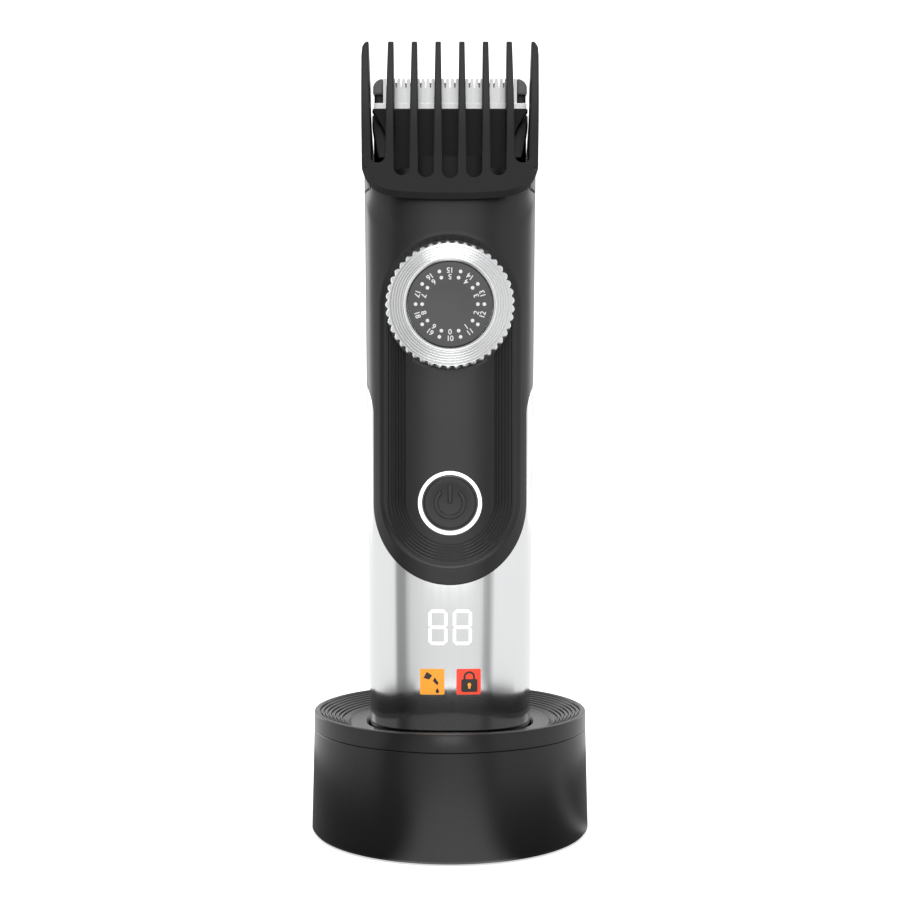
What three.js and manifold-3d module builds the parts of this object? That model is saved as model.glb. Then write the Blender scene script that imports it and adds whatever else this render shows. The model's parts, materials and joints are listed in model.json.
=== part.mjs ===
// Beard trimmer standing in its round charging dock.
// Millimetres, +Z up, origin in the middle of the dock's underside. The trimmer's front faces -Y.

import * as THREE from 'three';
import { mergeVertices } from 'three/addons/utils/BufferGeometryUtils.js';
import Module from 'manifold-3d';

const wasm = await Module();
wasm.setup();

// ---------- driving dimensions ----------

// Dock
const DOCK_FOOT_RADIUS = 33.5;
const DOCK_RIM_RADIUS = 32.9;
const DOCK_HEIGHT = 29.1;
const DOCK_SEAM = 24.8;
const DISH_FLOOR = 26.2;
const DISH_RADIUS = 24.4;
const DOCK_SCREW_RING = 27;
const PIN_X = 5;

// Trimmer body: a rounded section that widens a little from foot to top
const BODY_BOTTOM = 14;
const BODY_TOP = 155;
const HALF_WIDTH_AT_BOTTOM = 19.26;
const HALF_WIDTH_AT_TOP = 20.8;
const HALF_DEPTH = 15.5;
const SQUARENESS = 2.7;
const SLEEVE_TOP = 110;
const SLEEVE_WALL = 1.6;
const PANEL_WALL = 2;

// Front panel, dial and button
const TONGUE_RADIUS = 18.1;
const BUTTON_Z = 79.6;
const BUTTON_RADIUS = 6.4;
const LIGHT_RING_RADIUS = 7.5;
const DIAL_Z = 125.7;
const DIAL_RADIUS = 15;
const DIAL_FRONT = -18.9;
const DIAL_SEAT_RADIUS = 16.6;
const DIAL_SEAT_FRONT = -14.6;
const KNURL_COUNT = 45;
const DETENT_COUNT = 20;

// Length control: one turn of the dial moves the comb by one pitch
const SCROLL_PITCH = 10;
const SCROLL_TURN = THREE.MathUtils.degToRad(342);
const SCROLL_START = 3.4;
const SCROLL_RADIUS = 14.5;
const SCROLL_FRONT = -9.9;
const SCROLL_BACK = -7.4;
const FOLLOWER_RADIUS = 1;

// Motor, blades and head
const MOTOR_Y = 4.2;
const CRANK_OFFSET = 0.7;
const HEAD_TOP = 172.6;
const BLADE_TIP = 181;
const BLADE_HALF_WIDTH = 15.8;
const BLADE_PITCH = 1.17;
const BLADE_FRONT = -7;

// Comb guard
const COMB_BOTTOM = 149.8;
const COMB_TIP = 188;
const COMB_HALF_WIDTH = 21.1;
const COMB_HALF_DEPTH = 19;
const COMB_SQUARENESS = 6;
const COMB_WALL = 1.6;
const TOOTH_PITCH = 5.6;
const TOOTH_COUNT = 8;
const SLOT_WIDTH = 3.6;

// ---------- solids from three.js geometry ----------

// A closed geometry as a manifold solid, with its faces turned outwards.
function toSolid(geometry) {
  const bare = geometry.index ? geometry.toNonIndexed() : geometry.clone();
  bare.deleteAttribute('normal');
  bare.deleteAttribute('uv');
  const merged = mergeVertices(bare, 1e-4);
  const place = merged.attributes.position;
  const corners = [0, 1, 2].map(() => new THREE.Vector3());
  const triangles = [];
  let volume = 0;
  for (let i = 0; i < merged.index.count; i += 3) {
    const face = [merged.index.getX(i), merged.index.getX(i + 1), merged.index.getX(i + 2)];
    if (new Set(face).size === 3) {
      face.forEach((vertex, k) => corners[k].fromBufferAttribute(place, vertex));
      volume += corners[0].dot(corners[1].clone().cross(corners[2]));
      triangles.push(face);
    }
  }
  const outward = volume < 0 ? triangles.map(([a, b, c]) => [a, c, b]) : triangles;
  const vertProperties = new Float32Array(place.array);
  const triVerts = new Uint32Array(outward.flat());
  return new wasm.Manifold(new wasm.Mesh({ numProp: 3, vertProperties, triVerts }));
}

function toGeometry(solid) {
  const mesh = solid.getMesh();
  const geometry = new THREE.BufferGeometry();
  geometry.setAttribute('position', new THREE.BufferAttribute(mesh.vertProperties, 3));
  geometry.setIndex(new THREE.BufferAttribute(mesh.triVerts, 1));
  geometry.computeVertexNormals();
  return geometry;
}

function join(...solids) {
  return solids.reduce((whole, piece) => whole.add(piece));
}

function cut(solid, ...tools) {
  return tools.reduce((whole, tool) => whole.subtract(tool), solid);
}

function block(x0, x1, y0, y1, z0, z1) {
  const geometry = new THREE.BoxGeometry(x1 - x0, y1 - y0, z1 - z0);
  geometry.translate((x0 + x1) / 2, (y0 + y1) / 2, (z0 + z1) / 2);
  return toSolid(geometry);
}

// An upright round bar.
function bar(radius, z0, z1, x = 0, y = 0, sides = 12) {
  const geometry = new THREE.CylinderGeometry(radius, radius, z1 - z0, sides);
  geometry.rotateX(Math.PI / 2);
  geometry.translate(x, y, (z0 + z1) / 2);
  return toSolid(geometry);
}

// A round bar lying front to back.
function barY(radius, y0, y1, x, z, sides = 16) {
  const geometry = new THREE.CylinderGeometry(radius, radius, y1 - y0, sides);
  geometry.translate(x, (y0 + y1) / 2, z);
  return toSolid(geometry);
}

// A closed outline of [radius, height] points turned about the upright axis.
function lathe(profile, sides = 64) {
  const points = profile.map(([radius, z]) => new THREE.Vector2(radius, z));
  const geometry = new THREE.LatheGeometry(points, sides);
  geometry.rotateX(Math.PI / 2);
  return toSolid(geometry);
}

// An outline seen from above, raised from z0 to z1.
function raise(shape, z0, z1) {
  const geometry = new THREE.ExtrudeGeometry(shape, { depth: z1 - z0, bevelEnabled: false });
  geometry.translate(0, 0, z0);
  return toSolid(geometry);
}

// An outline in x and z seen from the front, from yFront back to yBack.
function facePlate(shape, yFront, yBack, curveSegments = 12) {
  const depth = yBack - yFront;
  const geometry = new THREE.ExtrudeGeometry(shape, { depth, bevelEnabled: false, curveSegments });
  geometry.rotateX(Math.PI / 2);
  geometry.translate(0, yBack, 0);
  return toSolid(geometry);
}

const SIDE_VIEW = new THREE.Matrix4().makeBasis(
  new THREE.Vector3(0, 1, 0),
  new THREE.Vector3(0, 0, 1),
  new THREE.Vector3(1, 0, 0),
);

// An outline in y and z seen from the side, from x0 to x1.
function sidePlateGeometry(shape, x0, x1) {
  const geometry = new THREE.ExtrudeGeometry(shape, { depth: x1 - x0, bevelEnabled: false });
  geometry.applyMatrix4(SIDE_VIEW);
  geometry.translate(x0, 0, 0);
  return geometry;
}

function outline(points) {
  return new THREE.Shape(points.map(([across, up]) => new THREE.Vector2(across, up)));
}

// A rounded section between an ellipse and a rectangle.
function section(halfWidth, halfDepth, centreY = 0, squareness = SQUARENESS, count = 36) {
  const bulge = (value) => Math.sign(value) * Math.abs(value) ** (2 / squareness);
  const points = Array.from({ length: count }, (_, i) => {
    const turn = (2 * Math.PI * i) / count;
    return [halfWidth * bulge(Math.cos(turn)), centreY + halfDepth * bulge(Math.sin(turn))];
  });
  return outline(points);
}

function halfWidthAt(z) {
  const rise = (z - BODY_BOTTOM) / (BODY_TOP - BODY_BOTTOM);
  return HALF_WIDTH_AT_BOTTOM + (HALF_WIDTH_AT_TOP - HALF_WIDTH_AT_BOTTOM) * rise;
}

// A stretch of the trimmer's body, drawn in by inset from its outer face.
function bodyStretch(z0, z1, inset) {
  const shape = section(1, HALF_DEPTH - inset);
  const geometry = new THREE.ExtrudeGeometry(shape, { depth: z1 - z0, bevelEnabled: false });
  geometry.translate(0, 0, z0);
  const place = geometry.attributes.position;
  for (let i = 0; i < place.count; i += 1) {
    place.setX(i, place.getX(i) * (halfWidthAt(place.getZ(i)) - inset));
  }
  return toSolid(geometry);
}

// ---------- materials ----------

function finish(color, roughness, metalness) {
  return new THREE.MeshStandardMaterial({ color, roughness, metalness });
}

const blackPlastic = finish('#1c1c1d', 0.42, 0);
const combPlastic = finish('#232324', 0.5, 0);
const silverShell = finish('#c8caca', 0.28, 0.9);
const polishedSilver = finish('#e2e3e4', 0.2, 1);
const bladeSteel = finish('#cfd0d1', 0.3, 1);
const greyPlastic = finish('#4a4a4b', 0.5, 0);
const darkFace = finish('#585858', 0.5, 0);
const rubber = finish('#151515', 0.9, 0);
const circuitBoard = finish('#1d5b38', 0.6, 0);
const gold = finish('#d5ac55', 0.3, 1);
const plainSteel = finish('#8f9294', 0.4, 1);
const whiteLight = finish('#f4f4f2', 0.4, 0);
const amberLens = finish('#f2a23a', 0.35, 0);
const redLens = finish('#e04a2b', 0.35, 0);
const batteryWrap = finish('#2f5fa8', 0.5, 0);
const naturalPlastic = finish('#d9d7cf', 0.5, 0);

const trimmer = new THREE.Group();

function add(name, solid, material) {
  const mesh = new THREE.Mesh(toGeometry(solid), material.clone());
  mesh.name = name;
  trimmer.add(mesh);
}

const SIDES = [
  ['left', -1],
  ['right', 1],
];

// ---------- dock ----------

const dockScrewPlaces = ['front', 'right', 'left'].map((name, i) => {
  const turn = THREE.MathUtils.degToRad(270 + 120 * i);
  return { name, x: DOCK_SCREW_RING * Math.cos(turn), y: DOCK_SCREW_RING * Math.sin(turn) };
});

function dockShell() {
  const wall = lathe([
    [DOCK_FOOT_RADIUS - 0.5, 0.4],
    [DOCK_FOOT_RADIUS, 0.9],
    [DOCK_RIM_RADIUS + 0.08, DOCK_SEAM - 0.15],
    [31.1, DOCK_SEAM - 0.15],
    [31.4, 0.4],
    [DOCK_FOOT_RADIUS - 0.5, 0.4],
  ], 48);
  return cut(wall, block(-5.2, 5.2, 28, 35, 8, 12.2));
}

function dockTopCap() {
  const dish = lathe([
    [0, DISH_FLOOR],
    [DISH_RADIUS, DISH_FLOOR],
    [31.7, DOCK_HEIGHT],
    [DOCK_RIM_RADIUS - 0.3, DOCK_HEIGHT],
    [DOCK_RIM_RADIUS, DOCK_HEIGHT - 0.3],
    [DOCK_RIM_RADIUS + 0.08, DOCK_SEAM + 0.15],
    [30.9, DOCK_SEAM + 0.15],
    [30.9, 22.5],
    [29.3, 22.5],
    [29.3, 24.4],
    [0, 24.4],
  ], 48);
  const cup = raise(section(21.6, 17.6), 12.2, 25);
  const posts = dockScrewPlaces.map(({ x, y }) => bar(2.6, 3.3, 25, x, y));
  const pocket = raise(section(19.8, 15.9), BODY_BOTTOM, DOCK_HEIGHT);
  const pilots = dockScrewPlaces.map(({ x, y }) => bar(1.3, 3, 12, x, y));
  const pinHoles = SIDES.map(([, side]) => bar(1.2, 12, 14.5, side * PIN_X));
  return cut(join(dish, cup, ...posts), pocket, ...pilots, ...pinHoles);
}

function dockBasePlate() {
  const holes = dockScrewPlaces.flatMap(({ x, y }) => [
    bar(1.4, 1, 3.2, x, y),
    bar(2.6, 1, 2.55, x, y),
  ]);
  return cut(bar(30.9, 1.2, 3.1, 0, 0, 48), ...holes);
}

function dockInletSocket() {
  return cut(block(-4.6, 4.6, 25.2, 31.8, 8.5, 11.7), block(-4.1, 4.1, 26, 32, 9, 11.2));
}

function dockContactBlock() {
  const holes = SIDES.flatMap(([, side]) => [
    bar(1.75, 8.4, 11.75, side * PIN_X),
    bar(1.15, 11.7, 12.2, side * PIN_X),
  ]);
  return cut(block(-9, 9, -4, 4, 8.55, 12.1), ...holes);
}

class Coil extends THREE.Curve {
  constructor(radius, z0, z1, turns, x) {
    super();
    Object.assign(this, { radius, z0, z1, turns, x });
  }

  getPoint(t, target = new THREE.Vector3()) {
    const turn = 2 * Math.PI * this.turns * t;
    return target.set(
      this.x + this.radius * Math.cos(turn),
      this.radius * Math.sin(turn),
      this.z0 + (this.z1 - this.z0) * t,
    );
  }
}

function coilSpring(radius, wire, z0, z1, turns, x) {
  const wireSection = new THREE.Shape();
  wireSection.absarc(0, 0, wire, 0, 2 * Math.PI);
  const extrudePath = new Coil(radius, z0, z1, turns, x);
  const steps = Math.round(turns * 8);
  return toSolid(new THREE.ExtrudeGeometry(wireSection, { steps, extrudePath, curveSegments: 2 }));
}

add('dock_pad', bar(30, 0, 1.2, 0, 0, 48), rubber);
add('dock_base_plate', dockBasePlate(), blackPlastic);
add('dock_shell', dockShell(), blackPlastic);
add('dock_top_cap', dockTopCap(), blackPlastic);
add('dock_weight', cut(bar(23.5, 3.2, 6.8, 0, 0, 36), bar(3, 3, 7)), plainSteel);
add('dock_pcb', block(-11, 11, -9, 28.5, 7.2, 8.4), circuitBoard);
add('dock_inlet_socket', dockInletSocket(), plainSteel);
add('dock_contact_block', dockContactBlock(), naturalPlastic);
for (const { name, x, y } of dockScrewPlaces) {
  add(`dock_screw_${name}`, join(bar(2.3, 1.3, 2.5, x, y), bar(1.1, 2.4, 11, x, y)), plainSteel);
}
for (const [name, side] of SIDES) {
  const pin = join(bar(0.9, 9.3, 14.4, side * PIN_X), bar(1.5, 11, 11.6, side * PIN_X));
  add(`dock_contact_pin_${name}`, pin, gold);
  add(`dock_contact_spring_${name}`, coilSpring(1.22, 0.16, 8.65, 10.75, 4, side * PIN_X), plainSteel);
}

// ---------- housing ----------

// The front panel seen from the front: full width above, then a round-ended tongue.
function panelOutline(grow) {
  const reach = TONGUE_RADIUS + grow;
  const shape = new THREE.Shape();
  shape.moveTo(-24, 160);
  shape.lineTo(-24, SLEEVE_TOP + 0.6 - grow);
  shape.lineTo(-20.8, SLEEVE_TOP + 0.6 - grow);
  shape.bezierCurveTo(-20, 105.5 - grow, -reach, 107, -reach, 101);
  shape.lineTo(-reach, BUTTON_Z);
  shape.absarc(0, BUTTON_Z, reach, Math.PI, 2 * Math.PI);
  shape.lineTo(reach, 101);
  shape.bezierCurveTo(reach, 107, 20, 105.5 - grow, 20.8, SLEEVE_TOP + 0.6 - grow);
  shape.lineTo(24, SLEEVE_TOP + 0.6 - grow);
  shape.lineTo(24, 160);
  return shape;
}

const NECK_CENTRE = 0.7;
const neckOpening = raise(section(12.6, 6.8, 1.6), 150, 158);
const tongueSlot = block(-5.5, 5.5, -13.6, -11.2, 150, 156);
const LENS_SPANS = [
  ['oil', -7, -1.3, amberLens],
  ['lock', 1.5, 7.2, redLens],
];
const LENS_BOTTOM = 34.9;
const LENS_TOP = 40.9;

function frontPanel() {
  const wall = cut(bodyStretch(55, BODY_TOP, 0), bodyStretch(50, 153.2, PANEL_WALL));
  const skin = wall.intersect(facePlate(panelOutline(0), -30, -0.15, 8));
  const seat = barY(DIAL_SEAT_RADIUS, DIAL_SEAT_FRONT, -11, 0, DIAL_Z, 48);
  return cut(
    join(skin, seat),
    barY(DIAL_SEAT_RADIUS, -20, DIAL_SEAT_FRONT, 0, DIAL_Z, 48),
    barY(3.6, -20, -10, 0, DIAL_Z),
    barY(LIGHT_RING_RADIUS + 0.15, -20, -10, 0, BUTTON_Z, 36),
    block(-8, 8, -13.5, -10, 141.4, 144),
    neckOpening,
    tongueSlot,
  );
}

function rearHousing() {
  const wall = cut(bodyStretch(SLEEVE_TOP + 0.3, BODY_TOP, 0), bodyStretch(100, 153.2, PANEL_WALL));
  return cut(wall, block(-30, 30, -30, 0.15, 100, 160), neckOpening);
}

function silverSleeve() {
  const wall = cut(bodyStretch(17.9, SLEEVE_TOP, 0), bodyStretch(17, 112, SLEEVE_WALL));
  const windows = LENS_SPANS.map(([, x0, x1]) =>
    block(x0 - 0.15, x1 + 0.15, -20, -10, LENS_BOTTOM - 0.15, LENS_TOP + 0.15));
  return cut(wall, facePlate(panelOutline(0.25), -30, 0, 8), ...windows);
}

const BOTTOM_SCREW_X = 12.5;

function bottomCap() {
  const flange = bodyStretch(BODY_BOTTOM, 17.7, 0);
  const spigot = bodyStretch(17.6, 20, SLEEVE_WALL + 0.3);
  const holes = SIDES.flatMap(([, side]) => [
    bar(2.4, 13, 15.8, side * PIN_X),
    bar(1.2, 13, 21, side * PIN_X),
    bar(2.1, 13, 15.9, side * BOTTOM_SCREW_X),
    bar(1.1, 13, 21, side * BOTTOM_SCREW_X),
  ]);
  return cut(join(flange, spigot), ...holes);
}

add('silver_sleeve', silverSleeve(), silverShell);
add('front_panel', frontPanel(), blackPlastic);
add('rear_housing', rearHousing(), blackPlastic);
add('bottom_cap', bottomCap(), blackPlastic);
for (const [name, side] of SIDES) {
  const contact = join(bar(2.2, 14.4, 15.6, side * PIN_X), bar(1, 15.5, 21, side * PIN_X));
  const screwX = side * BOTTOM_SCREW_X;
  add(`charge_contact_${name}`, contact, gold);
  add(`bottom_screw_${name}`, join(bar(1.9, 14.5, 15.7, screwX), bar(0.9, 15.6, 26, screwX)), plainSteel);
}

// ---------- frame, electronics and battery ----------

const CHASSIS_FRONT = -5.4;
const CHASSIS_BACK = -4.2;

function chassis() {
  const plate = block(-14.5, 14.5, CHASSIS_FRONT, CHASSIS_BACK, 22.5, 148);
  const pieces = SIDES.flatMap(([, side]) => {
    const span = (near, far) => [side * near, side * far].sort((a, b) => a - b);
    return [
      block(...span(7.4, 9.2), -7.1, -5, 106, 148),
      block(...span(9.5, 15.2), -5, 3.2, 22.5, 29),
      block(...span(8.5, 11.5), -7, -5, 40, 43),
      block(...span(8.5, 11.5), -7, -5, 92, 95),
    ];
  });
  const screwHoles = SIDES.map(([, side]) => bar(1.1, 22, 27, side * BOTTOM_SCREW_X));
  return cut(join(plate, ...pieces), ...screwHoles);
}

function motorCan() {
  const can = bar(10.2, 118, 149.5, 0, MOTOR_Y, 32);
  const flats = block(-12, 12, MOTOR_Y - 7.7, MOTOR_Y + 7.7, 110, 160);
  const boss = bar(3, 149.4, 151, 0, MOTOR_Y);
  return cut(join(can.intersect(flats), boss), bar(1.3, 143, 152, 0, MOTOR_Y));
}

const TACT_SWITCH_FRONT = -11.3;

add('chassis', chassis(), naturalPlastic);
add('main_pcb', block(-12, 12, -8.4, -7.2, 36, 98), circuitBoard);
add('display_module', block(-9.5, 9.5, -12.2, -8.5, 33.5, 58), blackPlastic);
for (const [name, x0, x1, lens] of LENS_SPANS) {
  add(`${name}_indicator_lens`, block(x0, x1, -15.5, -12.35, LENS_BOTTOM, LENS_TOP), lens);
}
add('tact_switch', join(
  block(-3, 3, TACT_SWITCH_FRONT, -8.5, BUTTON_Z - 3, BUTTON_Z + 3),
  barY(1.6, TACT_SWITCH_FRONT - 0.8, TACT_SWITCH_FRONT + 0.1, 0, BUTTON_Z),
), blackPlastic);
add('battery_cell', join(
  bar(7.1, 33, 83, 0, 4.6, 32),
  bar(2.6, 82.9, 84, 0, 4.6),
), batteryWrap);
add('battery_tab_bottom', block(-3.5, 3.5, 0.5, 8.7, 32.5, 32.8), plainSteel);
add('battery_tab_top', block(-3.5, 3.5, 0.5, 8.7, 84.2, 84.5), plainSteel);
add('motor_can', motorCan(), plainSteel);
add('motor_mount', cut(
  block(-13, 13, -3.9, 9.5, 149.7, 151.4),
  bar(3.2, 149, 152, 0, MOTOR_Y),
), greyPlastic);

// ---------- power button ----------

function ringY(outer, inner, y0, y1, z, sides = 30) {
  return cut(barY(outer, y0, y1, 0, z, sides), barY(inner, y0 - 1, y1 + 1, 0, z, sides));
}

add('power_light_ring', ringY(LIGHT_RING_RADIUS, BUTTON_RADIUS + 0.2, -15.7, -13.3, BUTTON_Z), whiteLight);
add('power_button', join(
  barY(BUTTON_RADIUS, -15.6, -13.9, 0, BUTTON_Z, 36),
  barY(1.5, -14, -12.9, 0, BUTTON_Z),
), blackPlastic);
add('button_membrane', ringY(7.4, 2, -12.95, -12.4, BUTTON_Z, 24), rubber);

// ---------- dial and scroll cam ----------

function dialRing() {
  const depth = 0.45;
  const count = KNURL_COUNT * 2;
  const points = Array.from({ length: count }, (_, i) => {
    const turn = (2 * Math.PI * i) / count;
    const radius = DIAL_RADIUS - depth * (0.5 - 0.5 * Math.cos(KNURL_COUNT * turn));
    return [radius * Math.sin(turn), DIAL_Z + radius * Math.cos(turn)];
  });
  return cut(
    facePlate(outline(points), DIAL_FRONT, -14.9),
    barY(10, -20, -16.6, 0, DIAL_Z, 40),
    barY(1.6, -20, -10, 0, DIAL_Z),
  );
}

// The spiral groove as it lies on the cam's back, seen from the front with the dial at zero.
function scrollGroove() {
  const halfGroove = FOLLOWER_RADIUS + 0.3;
  const count = 24;
  const edge = (offset) => Array.from({ length: count + 1 }, (_, i) => {
    const turn = (SCROLL_TURN * i) / count;
    const radius = SCROLL_START + (SCROLL_PITCH * turn) / (2 * Math.PI) + offset;
    return [-radius * Math.sin(turn), DIAL_Z + radius * Math.cos(turn)];
  });
  const channel = outline([...edge(halfGroove), ...edge(-halfGroove).reverse()]);
  const endRadius = SCROLL_START + (SCROLL_PITCH * SCROLL_TURN) / (2 * Math.PI);
  const endX = -endRadius * Math.sin(SCROLL_TURN);
  const endZ = DIAL_Z + endRadius * Math.cos(SCROLL_TURN);
  const front = SCROLL_BACK - 1.6;
  return join(
    facePlate(channel, front, SCROLL_BACK + 1),
    barY(halfGroove, front, SCROLL_BACK + 1, 0, DIAL_Z + SCROLL_START),
    barY(halfGroove, front, SCROLL_BACK + 1, endX, endZ),
  );
}

function scrollCam() {
  const notches = Array.from({ length: DETENT_COUNT }, (_, i) => {
    const turn = (2 * Math.PI * i) / DETENT_COUNT;
    const reach = SCROLL_RADIUS + 0.5;
    const x = reach * Math.sin(turn);
    const z = DIAL_Z - reach * Math.cos(turn);
    return barY(0.9, SCROLL_FRONT - 1, SCROLL_FRONT + 0.8, x, z, 6);
  });
  return cut(
    barY(SCROLL_RADIUS, SCROLL_FRONT, SCROLL_BACK, 0, DIAL_Z, 40),
    barY(1.6, -12, -6, 0, DIAL_Z),
    scrollGroove(),
    ...notches,
  );
}

function detentSpring() {
  const top = DIAL_Z - SCROLL_RADIUS - 0.15;
  return join(
    block(-7, 7, -9.6, -8.8, top - 1.6, top - 1.2),
    block(-7, -6.2, -9.6, -7.3, top - 3.4, top - 1.2),
    block(6.2, 7, -9.6, -7.3, top - 3.4, top - 1.2),
    barY(0.8, -9.6, -8.8, 0, top - 0.8, 12),
  );
}

function combCarriage() {
  return join(
    block(-7, 7, -7, -5.7, 108, 143.4),
    block(-5, 5, -13.2, -5.8, 141.8, 143.4),
    block(-5, 5, -13.2, -11.6, 141.9, 159.8),
    barY(FOLLOWER_RADIUS, -8.8, -6.9, 0, DIAL_Z + SCROLL_START, 16),
  );
}

add('dial_ring', dialRing(), polishedSilver);
add('dial_face', barY(9.85, -18.6, -16.7, 0, DIAL_Z, 40), darkFace);
add('dial_shaft', barY(1.45, -16.5, -7.7, 0, DIAL_Z, 20), plainSteel);
add('dial_bush', join(
  ringY(3.4, 1.7, -14.5, -10.9, DIAL_Z, 24),
  ringY(4.6, 1.7, -10.9, -10.2, DIAL_Z, 24),
), naturalPlastic);
add('scroll_cam', scrollCam(), naturalPlastic);
add('detent_spring', detentSpring(), plainSteel);
add('comb_carriage', combCarriage(), greyPlastic);

// ---------- head, blades and drive ----------

const CLAMP_TOP = 174.9;
const BLADE_SCREW_X = 10;
const BLADE_SCREW_Z = 166.4;

// A blade seen from the front, with its row of cutting teeth along the top.
function bladeOutline(halfWidth, bottom, tip, count, pitch, toothDepth) {
  const tipHalf = pitch * 0.2;
  const rootHalf = pitch * 0.36;
  const points = [[-halfWidth, bottom], [-halfWidth, tip - toothDepth]];
  for (let i = 0; i < count; i += 1) {
    const x = (i - (count - 1) / 2) * pitch;
    points.push([x - rootHalf, tip - toothDepth], [x - tipHalf, tip]);
    points.push([x + tipHalf, tip], [x + rootHalf, tip - toothDepth]);
  }
  points.push([halfWidth, tip - toothDepth], [halfWidth, bottom]);
  return outline(points);
}

function fixedBlade() {
  const shape = bladeOutline(BLADE_HALF_WIDTH, 164.5, BLADE_TIP, 27, BLADE_PITCH, 2.2);
  const holes = SIDES.map(([, side]) => barY(1.2, -8, -5, side * BLADE_SCREW_X, BLADE_SCREW_Z, 16));
  return cut(facePlate(shape, BLADE_FRONT, BLADE_FRONT + 1), ...holes);
}

function bladeClamp() {
  const shape = outline([
    [-18.3, CLAMP_TOP], [-18.3, 171.5], [-15.6, 167], [-14, 164.8],
    [14, 164.8], [15.6, 167], [18.3, 171.5], [18.3, CLAMP_TOP],
  ]);
  const holes = SIDES.map(([, side]) => barY(1.9, -9, -6, side * BLADE_SCREW_X, BLADE_SCREW_Z, 16));
  return cut(facePlate(shape, -7.8, -7.1), ...holes);
}

function headCover() {
  const shape = outline([
    [-18.5, 173.2], [-18.5, 172.2], [-15.6, 167.2], [-15, 156],
    [15, 156], [15.6, 167.2], [18.5, 172.2], [18.5, 173.2],
  ]);
  return facePlate(shape, -9.8, -8);
}

function headBase() {
  const neck = raise(section(17.2, 8.3, NECK_CENTRE), 155.6, HEAD_TOP);
  const flare = facePlate(outline([
    [-18.4, HEAD_TOP], [-18.4, 169.3], [-17.1, 162],
    [17.1, 162], [18.4, 169.3], [18.4, HEAD_TOP],
  ]), -5.9, 6.5);
  const bladeFlat = block(-20, 20, -9, -5.9, 164.2, 175);
  const driverRoom = block(-5.2, 5.2, -5.3, 8.2, 155, 163.6);
  const postRoom = block(-4.2, 4.2, -5.3, -3, 158, 175);
  const cutterRoom = block(-15.4, 15.4, -6, -3, 168.5, 175);
  const screwHoles = SIDES.map(([, side]) =>
    barY(1.1, -6.5, -1, side * BLADE_SCREW_X, BLADE_SCREW_Z, 16));
  return cut(join(neck, flare), bladeFlat, driverRoom, postRoom, cutterRoom, ...screwHoles);
}

function endGuard(side) {
  const inner = side * 16;
  const outer = side * 18.5;
  const shape = new THREE.Shape();
  shape.moveTo(inner, 177.2);
  shape.lineTo(outer, 177.2);
  shape.lineTo(outer, BLADE_TIP - 2.4);
  shape.quadraticCurveTo(outer, BLADE_TIP, inner, BLADE_TIP);
  const [x0, x1] = [side * 16.2, side * 18.2].sort((a, b) => a - b);
  return join(facePlate(shape, BLADE_FRONT, -4, 8), block(x0, x1, -5.6, -4.2, HEAD_TOP + 0.1, 178));
}

function cutterSpring() {
  const arms = SIDES.flatMap(([, side]) => {
    const span = (near, far) => [side * near, side * far].sort((a, b) => a - b);
    return [
      block(...span(5, 12), -4.95, -4.6, 170.4, 171),
      block(...span(11.4, 12), -4.95, -3.15, 170.4, 171),
    ];
  });
  return join(block(-12, 12, -3.5, -3.15, 170.4, 171), ...arms);
}

function cutterDriver() {
  return cut(
    join(block(-4.2, 4.2, -5, 7.4, 158.2, 161.6), block(-3, 3, -5, -3.8, 158.3, 172)),
    block(-2.5, 2.5, MOTOR_Y - 2.3, MOTOR_Y + 2.3, 157, 163),
  );
}

function crank() {
  return cut(
    join(bar(3.6, 153.6, 157.6, 0, MOTOR_Y, 24), bar(0.85, 157.5, 162.8, CRANK_OFFSET, MOTOR_Y, 16)),
    bar(1.15, 153, 156.7, 0, MOTOR_Y),
  );
}

add('neck_seal', raise(section(16.4, 7.6, NECK_CENTRE), 155.05, 155.5)
  .subtract(raise(section(14.6, 7, 1.2), 155, 156)), rubber);
add('head_base', headBase(), blackPlastic);
add('head_cover', headCover(), blackPlastic);
add('blade_clamp', bladeClamp(), bladeSteel);
add('fixed_blade', fixedBlade(), bladeSteel);
for (const [name, side] of SIDES) {
  const x = side * BLADE_SCREW_X;
  const screw = join(
    barY(1.7, -7.8, -7.05, x, BLADE_SCREW_Z, 16),
    barY(0.9, -7.1, -1.4, x, BLADE_SCREW_Z, 16),
  );
  add(`blade_screw_${name}`, screw, plainSteel);
  add(`blade_end_guard_${name}`, endGuard(side), greyPlastic);
}
add('cutter_spring', cutterSpring(), plainSteel);
add('moving_cutter', facePlate(bladeOutline(14.4, 169, 180.3, 14, 2, 3), -5.85, -5.15), bladeSteel);
add('cutter_driver', cutterDriver(), naturalPlastic);
add('motor_shaft', bar(1, 143.5, 156.5, 0, MOTOR_Y), plainSteel);
add('motor_crank', crank(), naturalPlastic);

// ---------- comb guard ----------

// One tooth seen from the side: the front edge leans back to a rounded tip.
function toothShape() {
  const shape = new THREE.Shape();
  shape.moveTo(-18.9, 155);
  shape.lineTo(-18.9, 161);
  shape.bezierCurveTo(-18.9, 171, -16.2, 178, -12.6, 186.6);
  shape.quadraticCurveTo(-12, COMB_TIP, -10.9, COMB_TIP);
  shape.quadraticCurveTo(-9.9, COMB_TIP, -9.7, 186.8);
  shape.lineTo(-8.6, 178);
  shape.lineTo(-10.3, 173.6);
  shape.lineTo(-10.3, 168);
  shape.lineTo(-17.6, 158);
  shape.lineTo(-17.6, 155);
  return shape;
}

function tooth(x, baseWidth, tipWidth, lean) {
  const geometry = sidePlateGeometry(toothShape(), -0.5, 0.5);
  const place = geometry.attributes.position;
  for (let i = 0; i < place.count; i += 1) {
    const rise = THREE.MathUtils.clamp((place.getZ(i) - 160) / (COMB_TIP - 160), 0, 1);
    const width = baseWidth + (tipWidth - baseWidth) * rise;
    place.setX(i, x + lean * rise + place.getX(i) * width);
  }
  return toSolid(geometry);
}

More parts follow.
